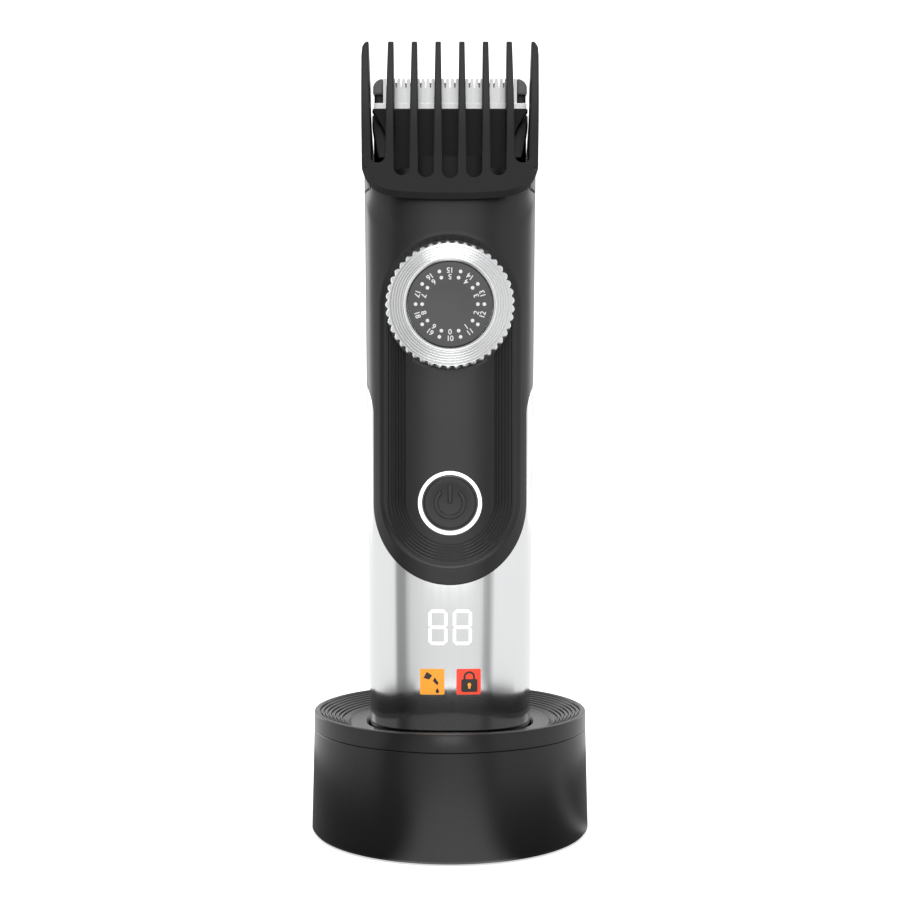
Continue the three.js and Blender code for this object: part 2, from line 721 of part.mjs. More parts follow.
function combFrame() {
  const outer = raise(section(COMB_HALF_WIDTH, COMB_HALF_DEPTH, 0, COMB_SQUARENESS), COMB_BOTTOM, 173);
  const innerSection =
    section(COMB_HALF_WIDTH - COMB_WALL, COMB_HALF_DEPTH - COMB_WALL, 0, COMB_SQUARENESS);
  const inner = raise(innerSection, 140, 180);
  const front = new THREE.Shape();
  front.moveTo(-22, 173);
  front.lineTo(-22, 158);
  front.bezierCurveTo(-21.4, 153, -18.5, 150.3, -13, COMB_BOTTOM + 0.2);
  front.quadraticCurveTo(0, COMB_BOTTOM - 0.2, 13, COMB_BOTTOM + 0.2);
  front.bezierCurveTo(18.5, 150.3, 21.4, 153, 22, 158);
  front.lineTo(22, 173);
  const side = outline([
    [-20, 149], [-12, 149], [4.5, 158], [6.2, 161], [4.5, 165], [-5, 170.5], [-9, 173], [-20, 173],
  ]);
  const trimmed = outer.subtract(inner).intersect(facePlate(front, -25, 12, 8));
  return trimmed.intersect(toSolid(sidePlateGeometry(side, -23, 23)));
}

// A slot between two teeth, with a round bottom end.
function combSlot(x, bottom) {
  const half = SLOT_WIDTH / 2;
  const shape = new THREE.Shape();
  shape.moveTo(x - half, 180);
  shape.lineTo(x - half, bottom + half);
  shape.absarc(x, bottom + half, half, Math.PI, 2 * Math.PI);
  shape.lineTo(x + half, 180);
  return facePlate(shape, -25, -6, 6);
}

function combGuard() {
  const teeth = Array.from({ length: TOOTH_COUNT }, (_, i) => {
    const x = (i - (TOOTH_COUNT - 1) / 2) * TOOTH_PITCH;
    return Math.abs(x) < 19 ? tooth(x, 2, 1.2, 0) : tooth(Math.sign(x) * 20.1, 1.9, 1.1, Math.sign(x) * 0.2);
  });
  const slotBottoms = [154.8, 155, 155.5, 158.4];
  const slots = Array.from({ length: TOOTH_COUNT - 1 }, (_, i) => {
    const step = i - (TOOTH_COUNT - 2) / 2;
    return combSlot(step * TOOTH_PITCH, slotBottoms[Math.abs(step)]);
  });
  const clip = cut(
    block(-7.6, 7.6, -17.9, -10.3, 156.4, 161.2),
    block(-5.3, 5.3, -13.5, -11.3, 155, 160.2),
  );
  const frame = cut(combFrame(), ...slots);
  return cut(join(frame, ...teeth, clip), bodyStretch(130, BODY_TOP + 0.4, -0.4));
}

add('comb_guard', combGuard(), combPlastic);

export default trimmer;
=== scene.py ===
"""Beard trimmer in its charging dock: the looks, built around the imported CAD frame.

Metres, +Z up, the trimmer's front faces -Y. Sizes are in millimetres times MM, and most places
come from the frame's own boxes.
"""

import json
import math

import bpy
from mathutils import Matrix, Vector

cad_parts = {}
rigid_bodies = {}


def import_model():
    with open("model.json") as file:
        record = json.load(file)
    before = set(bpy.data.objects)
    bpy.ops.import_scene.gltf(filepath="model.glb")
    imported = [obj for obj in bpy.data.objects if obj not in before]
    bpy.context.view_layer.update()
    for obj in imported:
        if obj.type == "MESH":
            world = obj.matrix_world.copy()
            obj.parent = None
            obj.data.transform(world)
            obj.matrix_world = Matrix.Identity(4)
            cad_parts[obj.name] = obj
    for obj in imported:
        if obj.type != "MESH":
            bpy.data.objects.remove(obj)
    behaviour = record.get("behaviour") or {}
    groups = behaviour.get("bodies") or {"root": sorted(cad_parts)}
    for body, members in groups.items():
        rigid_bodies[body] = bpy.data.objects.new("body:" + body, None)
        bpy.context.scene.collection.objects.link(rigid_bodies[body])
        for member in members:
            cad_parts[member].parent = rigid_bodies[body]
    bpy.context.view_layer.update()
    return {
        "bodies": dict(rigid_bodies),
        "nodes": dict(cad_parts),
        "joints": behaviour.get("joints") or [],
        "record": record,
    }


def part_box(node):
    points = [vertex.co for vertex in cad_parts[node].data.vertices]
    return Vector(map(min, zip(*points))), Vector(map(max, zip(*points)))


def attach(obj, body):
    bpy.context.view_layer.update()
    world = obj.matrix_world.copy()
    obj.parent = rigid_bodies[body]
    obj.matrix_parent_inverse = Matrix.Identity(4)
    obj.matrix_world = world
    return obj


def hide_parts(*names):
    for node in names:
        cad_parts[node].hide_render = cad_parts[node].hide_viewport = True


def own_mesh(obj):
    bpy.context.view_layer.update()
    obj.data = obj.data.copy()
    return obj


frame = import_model()
bpy.ops.object.select_all(action="DESELECT")

MM = 0.001
FULL_TURN = 2 * math.pi
AXIS_X = Vector((1, 0, 0))
AXIS_Y = Vector((0, 1, 0))
AXIS_Z = Vector((0, 0, 1))

# ---------- driving sizes, read from the frame ----------

SHELL_LOW, SHELL_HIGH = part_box("dock_shell")
CAP_LOW, CAP_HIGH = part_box("dock_top_cap")
SLEEVE_LOW, SLEEVE_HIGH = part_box("silver_sleeve")
PANEL_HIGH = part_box("front_panel")[1]
BOTTOM_LOW, BOTTOM_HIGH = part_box("bottom_cap")
DIAL_LOW, DIAL_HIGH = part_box("dial_ring")
FACE_LOW, FACE_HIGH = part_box("dial_face")
BUTTON_LOW, BUTTON_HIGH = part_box("power_button")
LIGHT_LOW, LIGHT_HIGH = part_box("power_light_ring")
COMB_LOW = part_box("comb_guard")[0]
COVER_LOW, COVER_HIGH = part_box("head_cover")
BASE_LOW, BASE_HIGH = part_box("head_base")
CLAMP_LOW, CLAMP_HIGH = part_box("blade_clamp")
BLADE_LOW, BLADE_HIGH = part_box("fixed_blade")
CUTTER_LOW, CUTTER_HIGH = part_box("moving_cutter")

DIAL_Z = (DIAL_LOW.z + DIAL_HIGH.z) / 2
BUTTON_Z = (BUTTON_LOW.z + BUTTON_HIGH.z) / 2
BODY_LOW_Z = BOTTOM_LOW.z
BODY_HIGH_Z = PANEL_HIGH.z
HALF_WIDTH_LOW = BOTTOM_HIGH.x - 0.03 * MM
HALF_WIDTH_HIGH = PANEL_HIGH.x
HALF_DEPTH = SLEEVE_HIGH.y
BODY_SQUARENESS = 2.7
TONGUE_RADIUS = 18.1 * MM

# ---------- tools for modelling ----------


def deselect():
    bpy.ops.object.select_all(action="DESELECT")


def work_on(piece):
    deselect()
    piece.select_set(True)
    bpy.context.view_layer.objects.active = piece


def edit(piece):
    work_on(piece)
    bpy.ops.object.mode_set(mode="EDIT")
    bpy.ops.mesh.select_all(action="SELECT")


def leave_edit():
    bpy.ops.object.mode_set(mode="OBJECT")


def face_outward():
    bpy.ops.mesh.select_all(action="SELECT")
    bpy.ops.mesh.normals_make_consistent(inside=False)


def named(name):
    piece = bpy.context.object
    piece.name = name
    piece.data.name = name
    return piece


def settle(piece):
    """Puts the piece's place into its mesh, so that its object sits at the origin."""
    work_on(piece)
    bpy.ops.object.transform_apply(location=True, rotation=True, scale=True)


def weld(piece, distance=0.002 * MM):
    edit(piece)
    bpy.ops.mesh.remove_doubles(threshold=distance)
    face_outward()
    leave_edit()


def apply_modifier(piece, kind, **settings):
    work_on(piece)
    modifier = piece.modifiers.new(kind.lower(), kind)
    for key, value in settings.items():
        setattr(modifier, key, value)
    bpy.ops.object.modifier_apply(modifier=modifier.name)


def soften(piece, width, segments=3, angle=35):
    apply_modifier(piece, "BEVEL", width=width, segments=segments, limit_method="ANGLE",
                   angle_limit=math.radians(angle), use_clamp_overlap=True)


def smooth(piece, angle=35):
    work_on(piece)
    bpy.ops.object.shade_smooth_by_angle(angle=math.radians(angle))


def crisp(piece, angle=35):
    """Smooth edges beside flat faces that stay flat."""
    smooth(piece, angle)
    apply_modifier(piece, "WEIGHTED_NORMAL", mode="FACE_AREA", weight=50, keep_sharp=True)


def combine(piece, tool, operation):
    """Joins, cuts or keeps what two pieces share, and removes the tool."""
    apply_modifier(piece, "BOOLEAN", object=tool, operation=operation, solver="EXACT")
    bpy.data.objects.remove(tool)


def cut(piece, *tools):
    for tool in tools:
        combine(piece, tool, "DIFFERENCE")


def unite(piece, *tools):
    for tool in tools:
        combine(piece, tool, "UNION")


def gather(name, pieces):
    """Joins loose copies into one piece."""
    deselect()
    for piece in pieces:
        piece.select_set(True)
    bpy.context.view_layer.objects.active = pieces[0]
    bpy.ops.object.join()
    return named(name)


def copy_of(piece, name):
    twin = piece.copy()
    twin.data = piece.data.copy()
    twin.name = name
    bpy.context.scene.collection.objects.link(twin)
    return twin


def brick(name, low, high):
    """A block between two corners."""
    low, high = Vector(low), Vector(high)
    bpy.ops.mesh.primitive_cube_add(size=1, location=(low + high) / 2)
    piece = named(name)
    piece.scale = high - low
    settle(piece)
    return piece


def brick_mm(name, low, high):
    """A block between two corners given in millimetres."""
    return brick(name, [value * MM for value in low], [value * MM for value in high])


def drawn_line(name, points):
    """A chain of edges, drawn point by point from one vertex."""
    bpy.ops.mesh.primitive_plane_add(size=MM, location=(0, 0, 0))
    piece = named(name)
    edit(piece)
    bpy.ops.mesh.merge(type="CENTER")
    bpy.ops.transform.translate(value=points[0])
    for here, there in zip(points, points[1:]):
        bpy.ops.mesh.extrude_region_move(TRANSFORM_OT_translate={"value": there - here})
    leave_edit()
    return piece


def turned(name, profile, centre=(0, 0, 0), axis=AXIS_Z, steps=96):
    """A profile of (radius, height along the axis) points spun about the axis."""
    centre = Vector(centre)
    points = [centre + AXIS_X * radius + axis * height for radius, height in profile]
    piece = drawn_line(name, points)
    edit(piece)
    bpy.ops.mesh.spin(steps=steps, angle=FULL_TURN, center=centre, axis=axis)
    leave_edit()
    weld(piece)
    return piece


def turned_facing(name, profile, front_y, z, steps=96, x=0):
    """A round thing that faces the front; heights in the profile go back from front_y."""
    return turned(name, profile, centre=(x, front_y, z), axis=AXIS_Y, steps=steps)


def extruded(name, points, across, thickness):
    """A flat outline of 3D points, filled and pulled out along one direction."""
    piece = drawn_line(name, points + [points[0]])
    weld(piece)
    edit(piece)
    bpy.ops.mesh.edge_face_add()
    bpy.ops.mesh.extrude_region_move(TRANSFORM_OT_translate={"value": across * thickness})
    face_outward()
    leave_edit()
    return piece


def front_outline(name, outline, y_front, y_back):
    """An outline of (x, z) points, from y_front back to y_back."""
    points = [Vector((x, y_front, z)) for x, z in outline]
    return extruded(name, points, AXIS_Y, y_back - y_front)


def side_outline(name, outline, x_low, x_high):
    """An outline of (y, z) points, from x_low to x_high."""
    points = [Vector((x_low, y, z)) for y, z in outline]
    return extruded(name, points, AXIS_X, x_high - x_low)


def millimetres(points):
    return [(u * MM, v * MM) for u, v in points]


def arc(centre_u, centre_v, radius, start, end, count):
    """Points of an arc in a plane, by angle in degrees."""
    turns = [math.radians(start + (end - start) * i / count) for i in range(count + 1)]
    return [(centre_u + radius * math.cos(t), centre_v + radius * math.sin(t)) for t in turns]


def surface(name, columns, rows, place):
    """A grid of columns by rows whose points lie where place(u, v) says, u and v from 0 to 1."""
    bpy.ops.mesh.primitive_grid_add(x_subdivisions=columns, y_subdivisions=rows, size=1)
    piece = named(name)
    for vertex in piece.data.vertices:
        vertex.co = place(vertex.co.x + 0.5, vertex.co.y + 0.5)
    return piece


# ---------- the body's shape ----------


def half_width(z):
    rise = (z - BODY_LOW_Z) / (BODY_HIGH_Z - BODY_LOW_Z)
    return HALF_WIDTH_LOW + (HALF_WIDTH_HIGH - HALF_WIDTH_LOW) * rise


def bulge(value, squareness):
    return math.copysign(abs(value) ** (2 / squareness), value)


def section_point(turn, width, depth, squareness):
    return width * bulge(math.cos(turn), squareness), depth * bulge(math.sin(turn), squareness)


def front_depth(x, z):
    """How far the body's front stands before the middle plane at x and z."""
    reach = min(abs(x) / half_width(z), 1)
    return HALF_DEPTH * (1 - reach ** BODY_SQUARENESS) ** (1 / BODY_SQUARENESS)


def section_bar(name, width_at, depth, heights, squareness=BODY_SQUARENESS, sides=160, centre_y=0):
    """A closed upright bar with the rounded section, through each height in turn."""
    bpy.ops.mesh.primitive_circle_add(vertices=sides, radius=1, fill_type="NGON")
    piece = named(name)
    for vertex in piece.data.vertices:
        turn = FULL_TURN * vertex.index / sides
        x, y = section_point(turn, width_at(heights[0]), depth, squareness)
        vertex.co = (x, y + centre_y, heights[0])
    edit(piece)
    for low, high in zip(heights, heights[1:]):
        bpy.ops.mesh.extrude_region_move(TRANSFORM_OT_translate={"value": (0, 0, high - low)})
        widen = width_at(high) / width_at(low)
        bpy.ops.transform.resize(value=(widen, 1, 1), center_override=(0, centre_y, high))
    face_outward()
    leave_edit()
    return piece


def lay_on_body(piece, lift):
    """Moves each point back onto the curved front, lift in front of it; y 0 is the surface itself."""
    for vertex in piece.data.vertices:
        x, y, z = vertex.co
        vertex.co.y = y - front_depth(x, z) - lift


# ---------- finishing a piece ----------


def place_piece(piece, body, slot, material, *stands_for):
    piece.data.materials.clear()
    piece.data.materials.append(material)
    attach(piece, body)
    if stands_for:
        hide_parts(*stands_for)


def place_smooth(piece, *place, angle=35):
    smooth(piece, angle)
    place_piece(piece, *place)


def place_crisp(piece, *place, angle=35):
    crisp(piece, angle)
    place_piece(piece, *place)


# ---------- shared shader groups ----------


def finish_group(name, pattern_socket):
    """An empty shader group; each material sets every input, so none needs a value here."""
    group = bpy.data.node_groups.new(name, "ShaderNodeTree")
    color, number = "NodeSocketColor", "NodeSocketFloat"
    outputs = [("Color", color), ("Roughness", number), ("Height", number)]
    inputs = [pattern_socket, *outputs[:2], ("Variation", number), ("Color Change", number)]
    for way, sockets in (("INPUT", inputs), ("OUTPUT", outputs)):
        for label, kind in sockets:
            group.interface.new_socket(label, in_out=way, socket_type=kind)
    return group, group.nodes.new("NodeGroupInput"), group.nodes.new("NodeGroupOutput")


def add_node(tree, kind, **settings):
    node = tree.nodes.new(kind)
    for key, value in settings.items():
        setattr(node, key, value)
    return node


def maths(tree, operation, first, second):
    node = add_node(tree, "ShaderNodeMath", operation=operation)
    for socket, value in zip(node.inputs, (first, second)):
        if isinstance(value, (int, float)):
            socket.default_value = value
        else:
            tree.links.new(value, socket)
    return node.outputs[0]


def with_changes(group, start, end, changes, height):
    """Gloss and tone that follow one noise, and a bump that follows another."""
    links = group.links
    swing = maths(group, "SUBTRACT", changes, 0.5)
    spread = maths(group, "MULTIPLY", swing, start.outputs["Variation"])
    links.new(maths(group, "ADD", start.outputs["Roughness"], spread), end.inputs["Roughness"])
    links.new(height, end.inputs["Height"])
    tone = maths(group, "MULTIPLY", swing, start.outputs["Color Change"])
    shade = add_node(group, "ShaderNodeHueSaturation")
    links.new(maths(group, "ADD", tone, 1.0), shade.inputs["Value"])
    links.new(start.outputs["Color"], shade.inputs["Color"])
    links.new(shade.outputs["Color"], end.inputs["Color"])
    return group


def build_grain():
    """Moulded grain: fine pits for the bump, and cloudy changes of gloss and tone."""
    group, start, end = finish_group("moulded_grain", ("Scale", "NodeSocketFloat"))
    links = group.links
    place = add_node(group, "ShaderNodeTexCoord")
    pits = add_node(group, "ShaderNodeTexNoise")
    pits.inputs["Detail"].default_value = 3
    clouds = add_node(group, "ShaderNodeTexNoise")
    clouds.inputs["Scale"].default_value = 70
    clouds.inputs["Detail"].default_value = 4
    links.new(place.outputs["Object"], pits.inputs["Vector"])
    links.new(place.outputs["Object"], clouds.inputs["Vector"])
    links.new(start.outputs["Scale"], pits.inputs["Scale"])
    return with_changes(group, start, end, clouds.outputs["Fac"], pits.outputs["Fac"])


def build_brushing():
    """Fine straight scratches: noise stretched along one direction of the piece."""
    group, start, end = finish_group("brushed_lines", ("Stretch", "NodeSocketVector"))
    links = group.links
    place = add_node(group, "ShaderNodeTexCoord")
    stretch = add_node(group, "ShaderNodeVectorMath", operation="MULTIPLY")
    lines = add_node(group, "ShaderNodeTexNoise")
    lines.inputs["Scale"].default_value = 1
    lines.inputs["Detail"].default_value = 4
    links.new(place.outputs["Object"], stretch.inputs[0])
    links.new(start.outputs["Stretch"], stretch.inputs[1])
    links.new(stretch.outputs[0], lines.inputs["Vector"])
    return with_changes(group, start, end, lines.outputs["Fac"], lines.outputs["Fac"])


GRAIN = build_grain()
BRUSHING = build_brushing()


def blank_material(name):
    material = bpy.data.materials.new(name)
    material.use_nodes = True
    return material, material.node_tree, material.node_tree.nodes["Principled BSDF"]


def textured(name, group, settings, bump_depth, **shader_values):
    """A Principled material whose colour, roughness and bump come from one shared group."""
    material, tree, shader = blank_material(name)
    texture = add_node(tree, "ShaderNodeGroup", node_tree=group)
    for label, value in settings.items():
        texture.inputs[label].default_value = value
    bump = add_node(tree, "ShaderNodeBump")
    bump.inputs["Distance"].default_value = bump_depth
    bump.inputs["Strength"].default_value = 1
    tree.links.new(texture.outputs["Color"], shader.inputs["Base Color"])
    tree.links.new(texture.outputs["Roughness"], shader.inputs["Roughness"])
    tree.links.new(texture.outputs["Height"], bump.inputs["Height"])
    tree.links.new(bump.outputs["Normal"], shader.inputs["Normal"])
    for label, value in shader_values.items():
        shader.inputs[label.replace("_", " ")].default_value = value
    return material


def grained(name, color, roughness, scale=6000, depth=0.006 * MM, variation=0.08, change=0.15, **values):
    settings = {"Scale": scale, "Roughness": roughness, "Variation": variation,
                "Color": (*color, 1), "Color Change": change}
    return textured(name, GRAIN, settings, depth, **values)


def brushed(name, color, roughness, stretch, depth=0.003 * MM, variation=0.14, change=0.1, **values):
    settings = {"Stretch": stretch, "Roughness": roughness, "Variation": variation,
                "Color": (*color, 1), "Color Change": change}
    return textured(name, BRUSHING, settings, depth, Metallic=1.0, **values)


def lit(name, color, strength):
    """A light guide or lens that glows evenly."""
    material = grained(name, color, 0.35, scale=3000, depth=0.002 * MM)
    shader = material.node_tree.nodes["Principled BSDF"]
    shader.inputs["Emission Color"].default_value = (*color, 1)
    shader.inputs["Emission Strength"].default_value = strength
    return material


BLACK_PLASTIC = grained("black_plastic", (0.007, 0.007, 0.0075), 0.34, IOR=1.48)
DOCK_PLASTIC = grained("dock_plastic", (0.004, 0.004, 0.0043), 0.26, IOR=1.47)
COMB_PLASTIC = grained("comb_plastic", (0.009, 0.009, 0.0095), 0.47, IOR=1.37)
GREY_PLASTIC = grained("grey_plastic", (0.05, 0.05, 0.052), 0.4)
SILVER_SHELL = brushed("silver_shell", (0.76, 0.765, 0.77), 0.14, (900, 900, 40), depth=0.0012 * MM,
                       variation=0.06, change=0.04)
DIAL_SILVER = brushed("dial_silver", (0.72, 0.725, 0.73), 0.3, (500, 500, 500), change=0.04)
BLADE_STEEL = brushed("blade_steel", (0.74, 0.745, 0.75), 0.3, (1600, 900, 40), variation=0.2, change=0.35)
# The moving cutter's steel is darkened: painted shade for where it lies behind the toothed blade; the real
# cutter is bright steel like the blade.
SHADED_CUTTER_STEEL = brushed("painted_shade_cutter_steel", (0.2, 0.2, 0.205), 0.4, (1600, 900, 40), variation=0.2, change=0.3)
PLAIN_STEEL = brushed("plain_steel", (0.45, 0.46, 0.47), 0.35, (2000, 2000, 200))
CONTACT_GOLD = brushed("contact_gold", (0.83, 0.62, 0.25), 0.25, (2000, 2000, 2000))
DIAL_FACE = grained("dial_face", (0.1, 0.1, 0.101), 0.6, scale=9000, IOR=1.35)
WHITE_PRINT = grained("white_print", (0.85, 0.85, 0.85), 0.5)
GUARD_PLASTIC = grained("guard_plastic", (0.17, 0.17, 0.173), 0.38)
HEAD_PLASTIC = grained("head_plastic", (0.005, 0.005, 0.0053), 0.5, IOR=1.36)
DARK_PRINT = grained("dark_print", (0.035, 0.033, 0.03), 0.5)
RUBBER = grained("rubber", (0.012, 0.012, 0.012), 0.75, scale=2500, depth=0.02 * MM)
BOARD_GREEN = grained("board_green", (0.01, 0.09, 0.03), 0.4, scale=1500)
NATURAL_PLASTIC = grained("natural_plastic", (0.62, 0.6, 0.54), 0.5)
CELL_BLUE = grained("cell_blue", (0.03, 0.1, 0.36), 0.35, scale=1500)
RING_LIGHT = lit("ring_light", (0.95, 0.96, 0.97), 1.0)
DIGIT_LIGHT = lit("digit_light", (0.97, 0.98, 1.0), 1.0)
AMBER_LIGHT = lit("amber_light", (0.93, 0.33, 0.02), 0.46)
RED_LIGHT = lit("red_light", (0.85, 0.055, 0.02), 0.42)

# ---------- dock ----------

CAP_SEAM = CAP_HIGH.z - 4.15 * MM
DISH_FLOOR = CAP_HIGH.z - 2.9 * MM
DISH_RADIUS = 24.4 * MM
GROOVE_COUNT = 7
GROOVE_PITCH = 0.9 * MM
GROOVE_DEPTH = 0.42 * MM


def dock_shell():
    foot = SHELL_HIGH.x
    low, high = SHELL_LOW.z, CAP_SEAM - 0.08 * MM
    rim = foot - 0.52 * MM
    shell = turned("dock_shell_wall", [
        (foot - 0.5 * MM, low), (foot, low + 0.6 * MM), (rim, high - 0.12 * MM), (rim - 0.12 * MM, high),
        (foot - 2.4 * MM, high), (foot - 2.1 * MM, low), (foot - 0.5 * MM, low),
    ], steps=160)
    inlet_low, inlet_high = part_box("dock_inlet_socket")
    gap = Vector((0.5, 0, 0.4)) * MM
    mouth = brick("inlet_mouth", inlet_low - gap, inlet_high + gap + AXIS_Y * 6 * MM)
    soften(mouth, 1.6 * MM, 6)
    cut(shell, mouth)
    place_smooth(shell, "dock", "black_plastic", DOCK_PLASTIC, "dock_shell")


def dish_profile():
    """From the middle of the dish out over the ringed slope to the rim and down to the seam."""
    slope_end = CAP_HIGH.x - 1.0 * MM
    rise = (CAP_HIGH.z - 0.15 * MM - DISH_FLOOR) / (slope_end - DISH_RADIUS)

    def on_slope(radius, sink=0):
        return radius, DISH_FLOOR + rise * (radius - DISH_RADIUS) - sink

    points = [(0, DISH_FLOOR), (DISH_RADIUS - 0.25 * MM, DISH_FLOOR), on_slope(DISH_RADIUS, 0.22 * MM)]
    points.append(on_slope(DISH_RADIUS + 0.25 * MM))
    first = slope_end - (GROOVE_COUNT - 0.4) * GROOVE_PITCH
    for index in range(GROOVE_COUNT):
        radius = first + index * GROOVE_PITCH
        half = GROOVE_PITCH * 0.3
        points += [on_slope(radius - half), on_slope(radius - half * 0.55, GROOVE_DEPTH),
                   on_slope(radius + half * 0.55, GROOVE_DEPTH), on_slope(radius + half)]
    top, outer = CAP_HIGH.z, CAP_HIGH.x
    points += [on_slope(slope_end), (slope_end + 0.15 * MM, top), (outer - 0.5 * MM, top),
               (outer - 0.12 * MM, top - 0.14 * MM), (outer, top - 0.5 * MM),
               (outer, CAP_SEAM + 0.12 * MM), (outer - 0.12 * MM, CAP_SEAM), (outer - 2.1 * MM, CAP_SEAM),
               (outer - 2.1 * MM, CAP_SEAM - 2 * MM), (outer - 3.8 * MM, CAP_SEAM - 2 * MM),
               (outer - 3.8 * MM, DISH_FLOOR - 1.8 * MM), (0, DISH_FLOOR - 1.8 * MM)]
    return points


def dock_top_cap():
    cap = turned("dock_dish", dish_profile(), steps=160)
    cup_floor = CAP_LOW.z + 8.9 * MM
    cup = section_bar("dock_cup", lambda z: 21.6 * MM, 17.6 * MM, [cup_floor, DISH_FLOOR - MM])
    unite(cap, cup)
    pocket = section_bar("dock_pocket", lambda z: 19.8 * MM, 15.9 * MM, [BODY_LOW_Z, CAP_HIGH.z + MM])
    soften(pocket, 0.8 * MM, 3)
    mouth = section_bar("pocket_mouth", lambda z: (19.8 * MM if z < DISH_FLOOR else 21 * MM), 16.1 * MM,
                        [DISH_FLOOR - 0.5 * MM, DISH_FLOOR + 0.7 * MM])
    cut(cap, pocket, mouth)
    for side in ("left", "right"):
        low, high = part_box(f"dock_contact_pin_{side}")
        hole = turned("pin_hole", [(0, cup_floor - MM), (1.2 * MM, cup_floor - MM),
                                   (1.2 * MM, BODY_LOW_Z + MM), (0, BODY_LOW_Z + MM)],
                      centre=((low.x + high.x) / 2, 0, 0), steps=24)
        cut(cap, hole)
    place_smooth(cap, "dock", "black_plastic", DOCK_PLASTIC, "dock_top_cap")


def dock_feet():
    """The rubber pad under the dock, with a moulded ring pattern."""
    low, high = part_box("dock_pad")
    profile = [(0, high.z), (high.x, high.z), (high.x, low.z + 0.3 * MM), (high.x - 0.3 * MM, low.z)]
    for index in range(5):
        radius = high.x - (2.2 + 2.2 * index) * MM
        profile += [(radius, low.z), (radius - 0.3 * MM, low.z + 0.35 * MM),
                    (radius - 0.9 * MM, low.z + 0.35 * MM), (radius - 1.2 * MM, low.z)]
    profile.append((0, low.z))
    pad = turned("dock_ringed_pad", profile, steps=128)
    place_smooth(pad, "dock", "rubber", RUBBER, "dock_pad")


def dock_socket():
    low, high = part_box("dock_inlet_socket")
    wall = 0.45 * MM
    shell = brick("inlet_shell", low, high)
    soften(shell, 1.1 * MM, 5)
    hollow = brick("inlet_hollow", low + Vector((wall, 0.9 * MM, wall)),
                   high - Vector((wall, -2 * MM, wall)))
    soften(hollow, 0.8 * MM, 5)
    cut(shell, hollow)
    middle = (low + high) / 2
    tongue = brick("inlet_tongue", (low.x + 1.8 * MM, low.y + 0.5 * MM, middle.z - 0.35 * MM),
                   (high.x - 1.8 * MM, high.y - 1.2 * MM, middle.z + 0.35 * MM))
    soften(tongue, 0.15 * MM, 2)
    place_smooth(shell, "dock", "plain_steel", PLAIN_STEEL, "dock_inlet_socket")
    place_smooth(tongue, "dock", "black_plastic", BLACK_PLASTIC)


def contact_spring(side):
    """The coil under a contact pin."""
    node = f"dock_contact_spring_{side}"
    low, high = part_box(node)
    wire, turns = 0.16 * MM, 4
    reach = (high.x - low.x) / 2 - wire
    bpy.ops.mesh.primitive_circle_add(vertices=10, radius=wire, rotation=(math.pi / 2, 0, 0))
    spring = named(f"contact_coil_{side}")
    settle(spring)
    edit(spring)
    bpy.ops.transform.translate(value=(reach, 0, 0))
    leave_edit()
    pitch = (high.z - low.z - 2 * wire) / turns
    apply_modifier(spring, "SCREW", angle=FULL_TURN, screw_offset=pitch, iterations=turns, steps=20,
                   render_steps=20)
    edit(spring)
    bpy.ops.mesh.fill_holes(sides=0)
    face_outward()
    leave_edit()
    spring.location = ((low.x + high.x) / 2, (low.y + high.y) / 2, low.z + wire)
    settle(spring)
    place_smooth(spring, "dock", "plain_steel", PLAIN_STEEL, node, angle=50)
    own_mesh(spring)


# ---------- housing ----------

SLEEVE_WALL = 1.6 * MM
PANEL_WALL = 1.8 * MM
PANEL_LIFT = 0.25 * MM
FLARE_LOW_Z = 101 * MM
FLARE_HIGH_Z = SLEEVE_HIGH.z + 0.6 * MM
RECESS_RADIUS = 16.8 * MM
GROOVES_INNER = 10.3 * MM
PANEL_GROOVES = 6
PANEL_GROOVE_PITCH = 0.78 * MM


def inset_width(inset):
    return lambda z: half_width(z) - inset


def panel_edge(z):
    """Half the panel's width at a height: the tongue below, the whole body above, an S between."""
    if z <= FLARE_LOW_Z:
        return TONGUE_RADIUS
    rise = min((z - FLARE_LOW_Z) / (FLARE_HIGH_Z - FLARE_LOW_Z), 1)
    ease = rise * rise * (3 - 2 * rise)
    return TONGUE_RADIUS + (half_width(z) - TONGUE_RADIUS) * ease


def tongue_reach(downward):
    """From the button's centre to the tongue's edge; a little further straight down."""
    return TONGUE_RADIUS + 0.95 * MM * downward ** 2


def tongue_outline(grow):
    """The cut in the silver sleeve that the panel's tongue fills."""
    right = []
    for x, z in arc(0, 0, 1, -90, 0, 30):
        reach = tongue_reach(-z) + grow
        right.append((x * reach, BUTTON_Z + z * reach))
    heights = [FLARE_LOW_Z + (FLARE_HIGH_Z - FLARE_LOW_Z) * i / 12 for i in range(12)]
    right += [(panel_edge(z) + grow, z - grow) for z in heights]
    right += [(24 * MM, FLARE_HIGH_Z - grow), (24 * MM, FLARE_HIGH_Z + 5 * MM)]
    return right + [(-x, z) for x, z in reversed(right[1:])]


def silver_sleeve():
    low, high = SLEEVE_LOW.z, SLEEVE_HIGH.z
    sleeve = section_bar("silver_body_sleeve", half_width, HALF_DEPTH, [low, high], sides=220)
    soften(sleeve, 0.25 * MM, 2, 60)
    bore = section_bar("sleeve_bore", inset_width(SLEEVE_WALL), HALF_DEPTH - SLEEVE_WALL,
                       [low - MM, high + MM], sides=220)
    cut(sleeve, bore, front_outline("tongue_cut", tongue_outline(0.12 * MM), -24 * MM, 0))
    place_smooth(sleeve, "trimmer", "silver_shell", SILVER_SHELL, "silver_sleeve", angle=40)


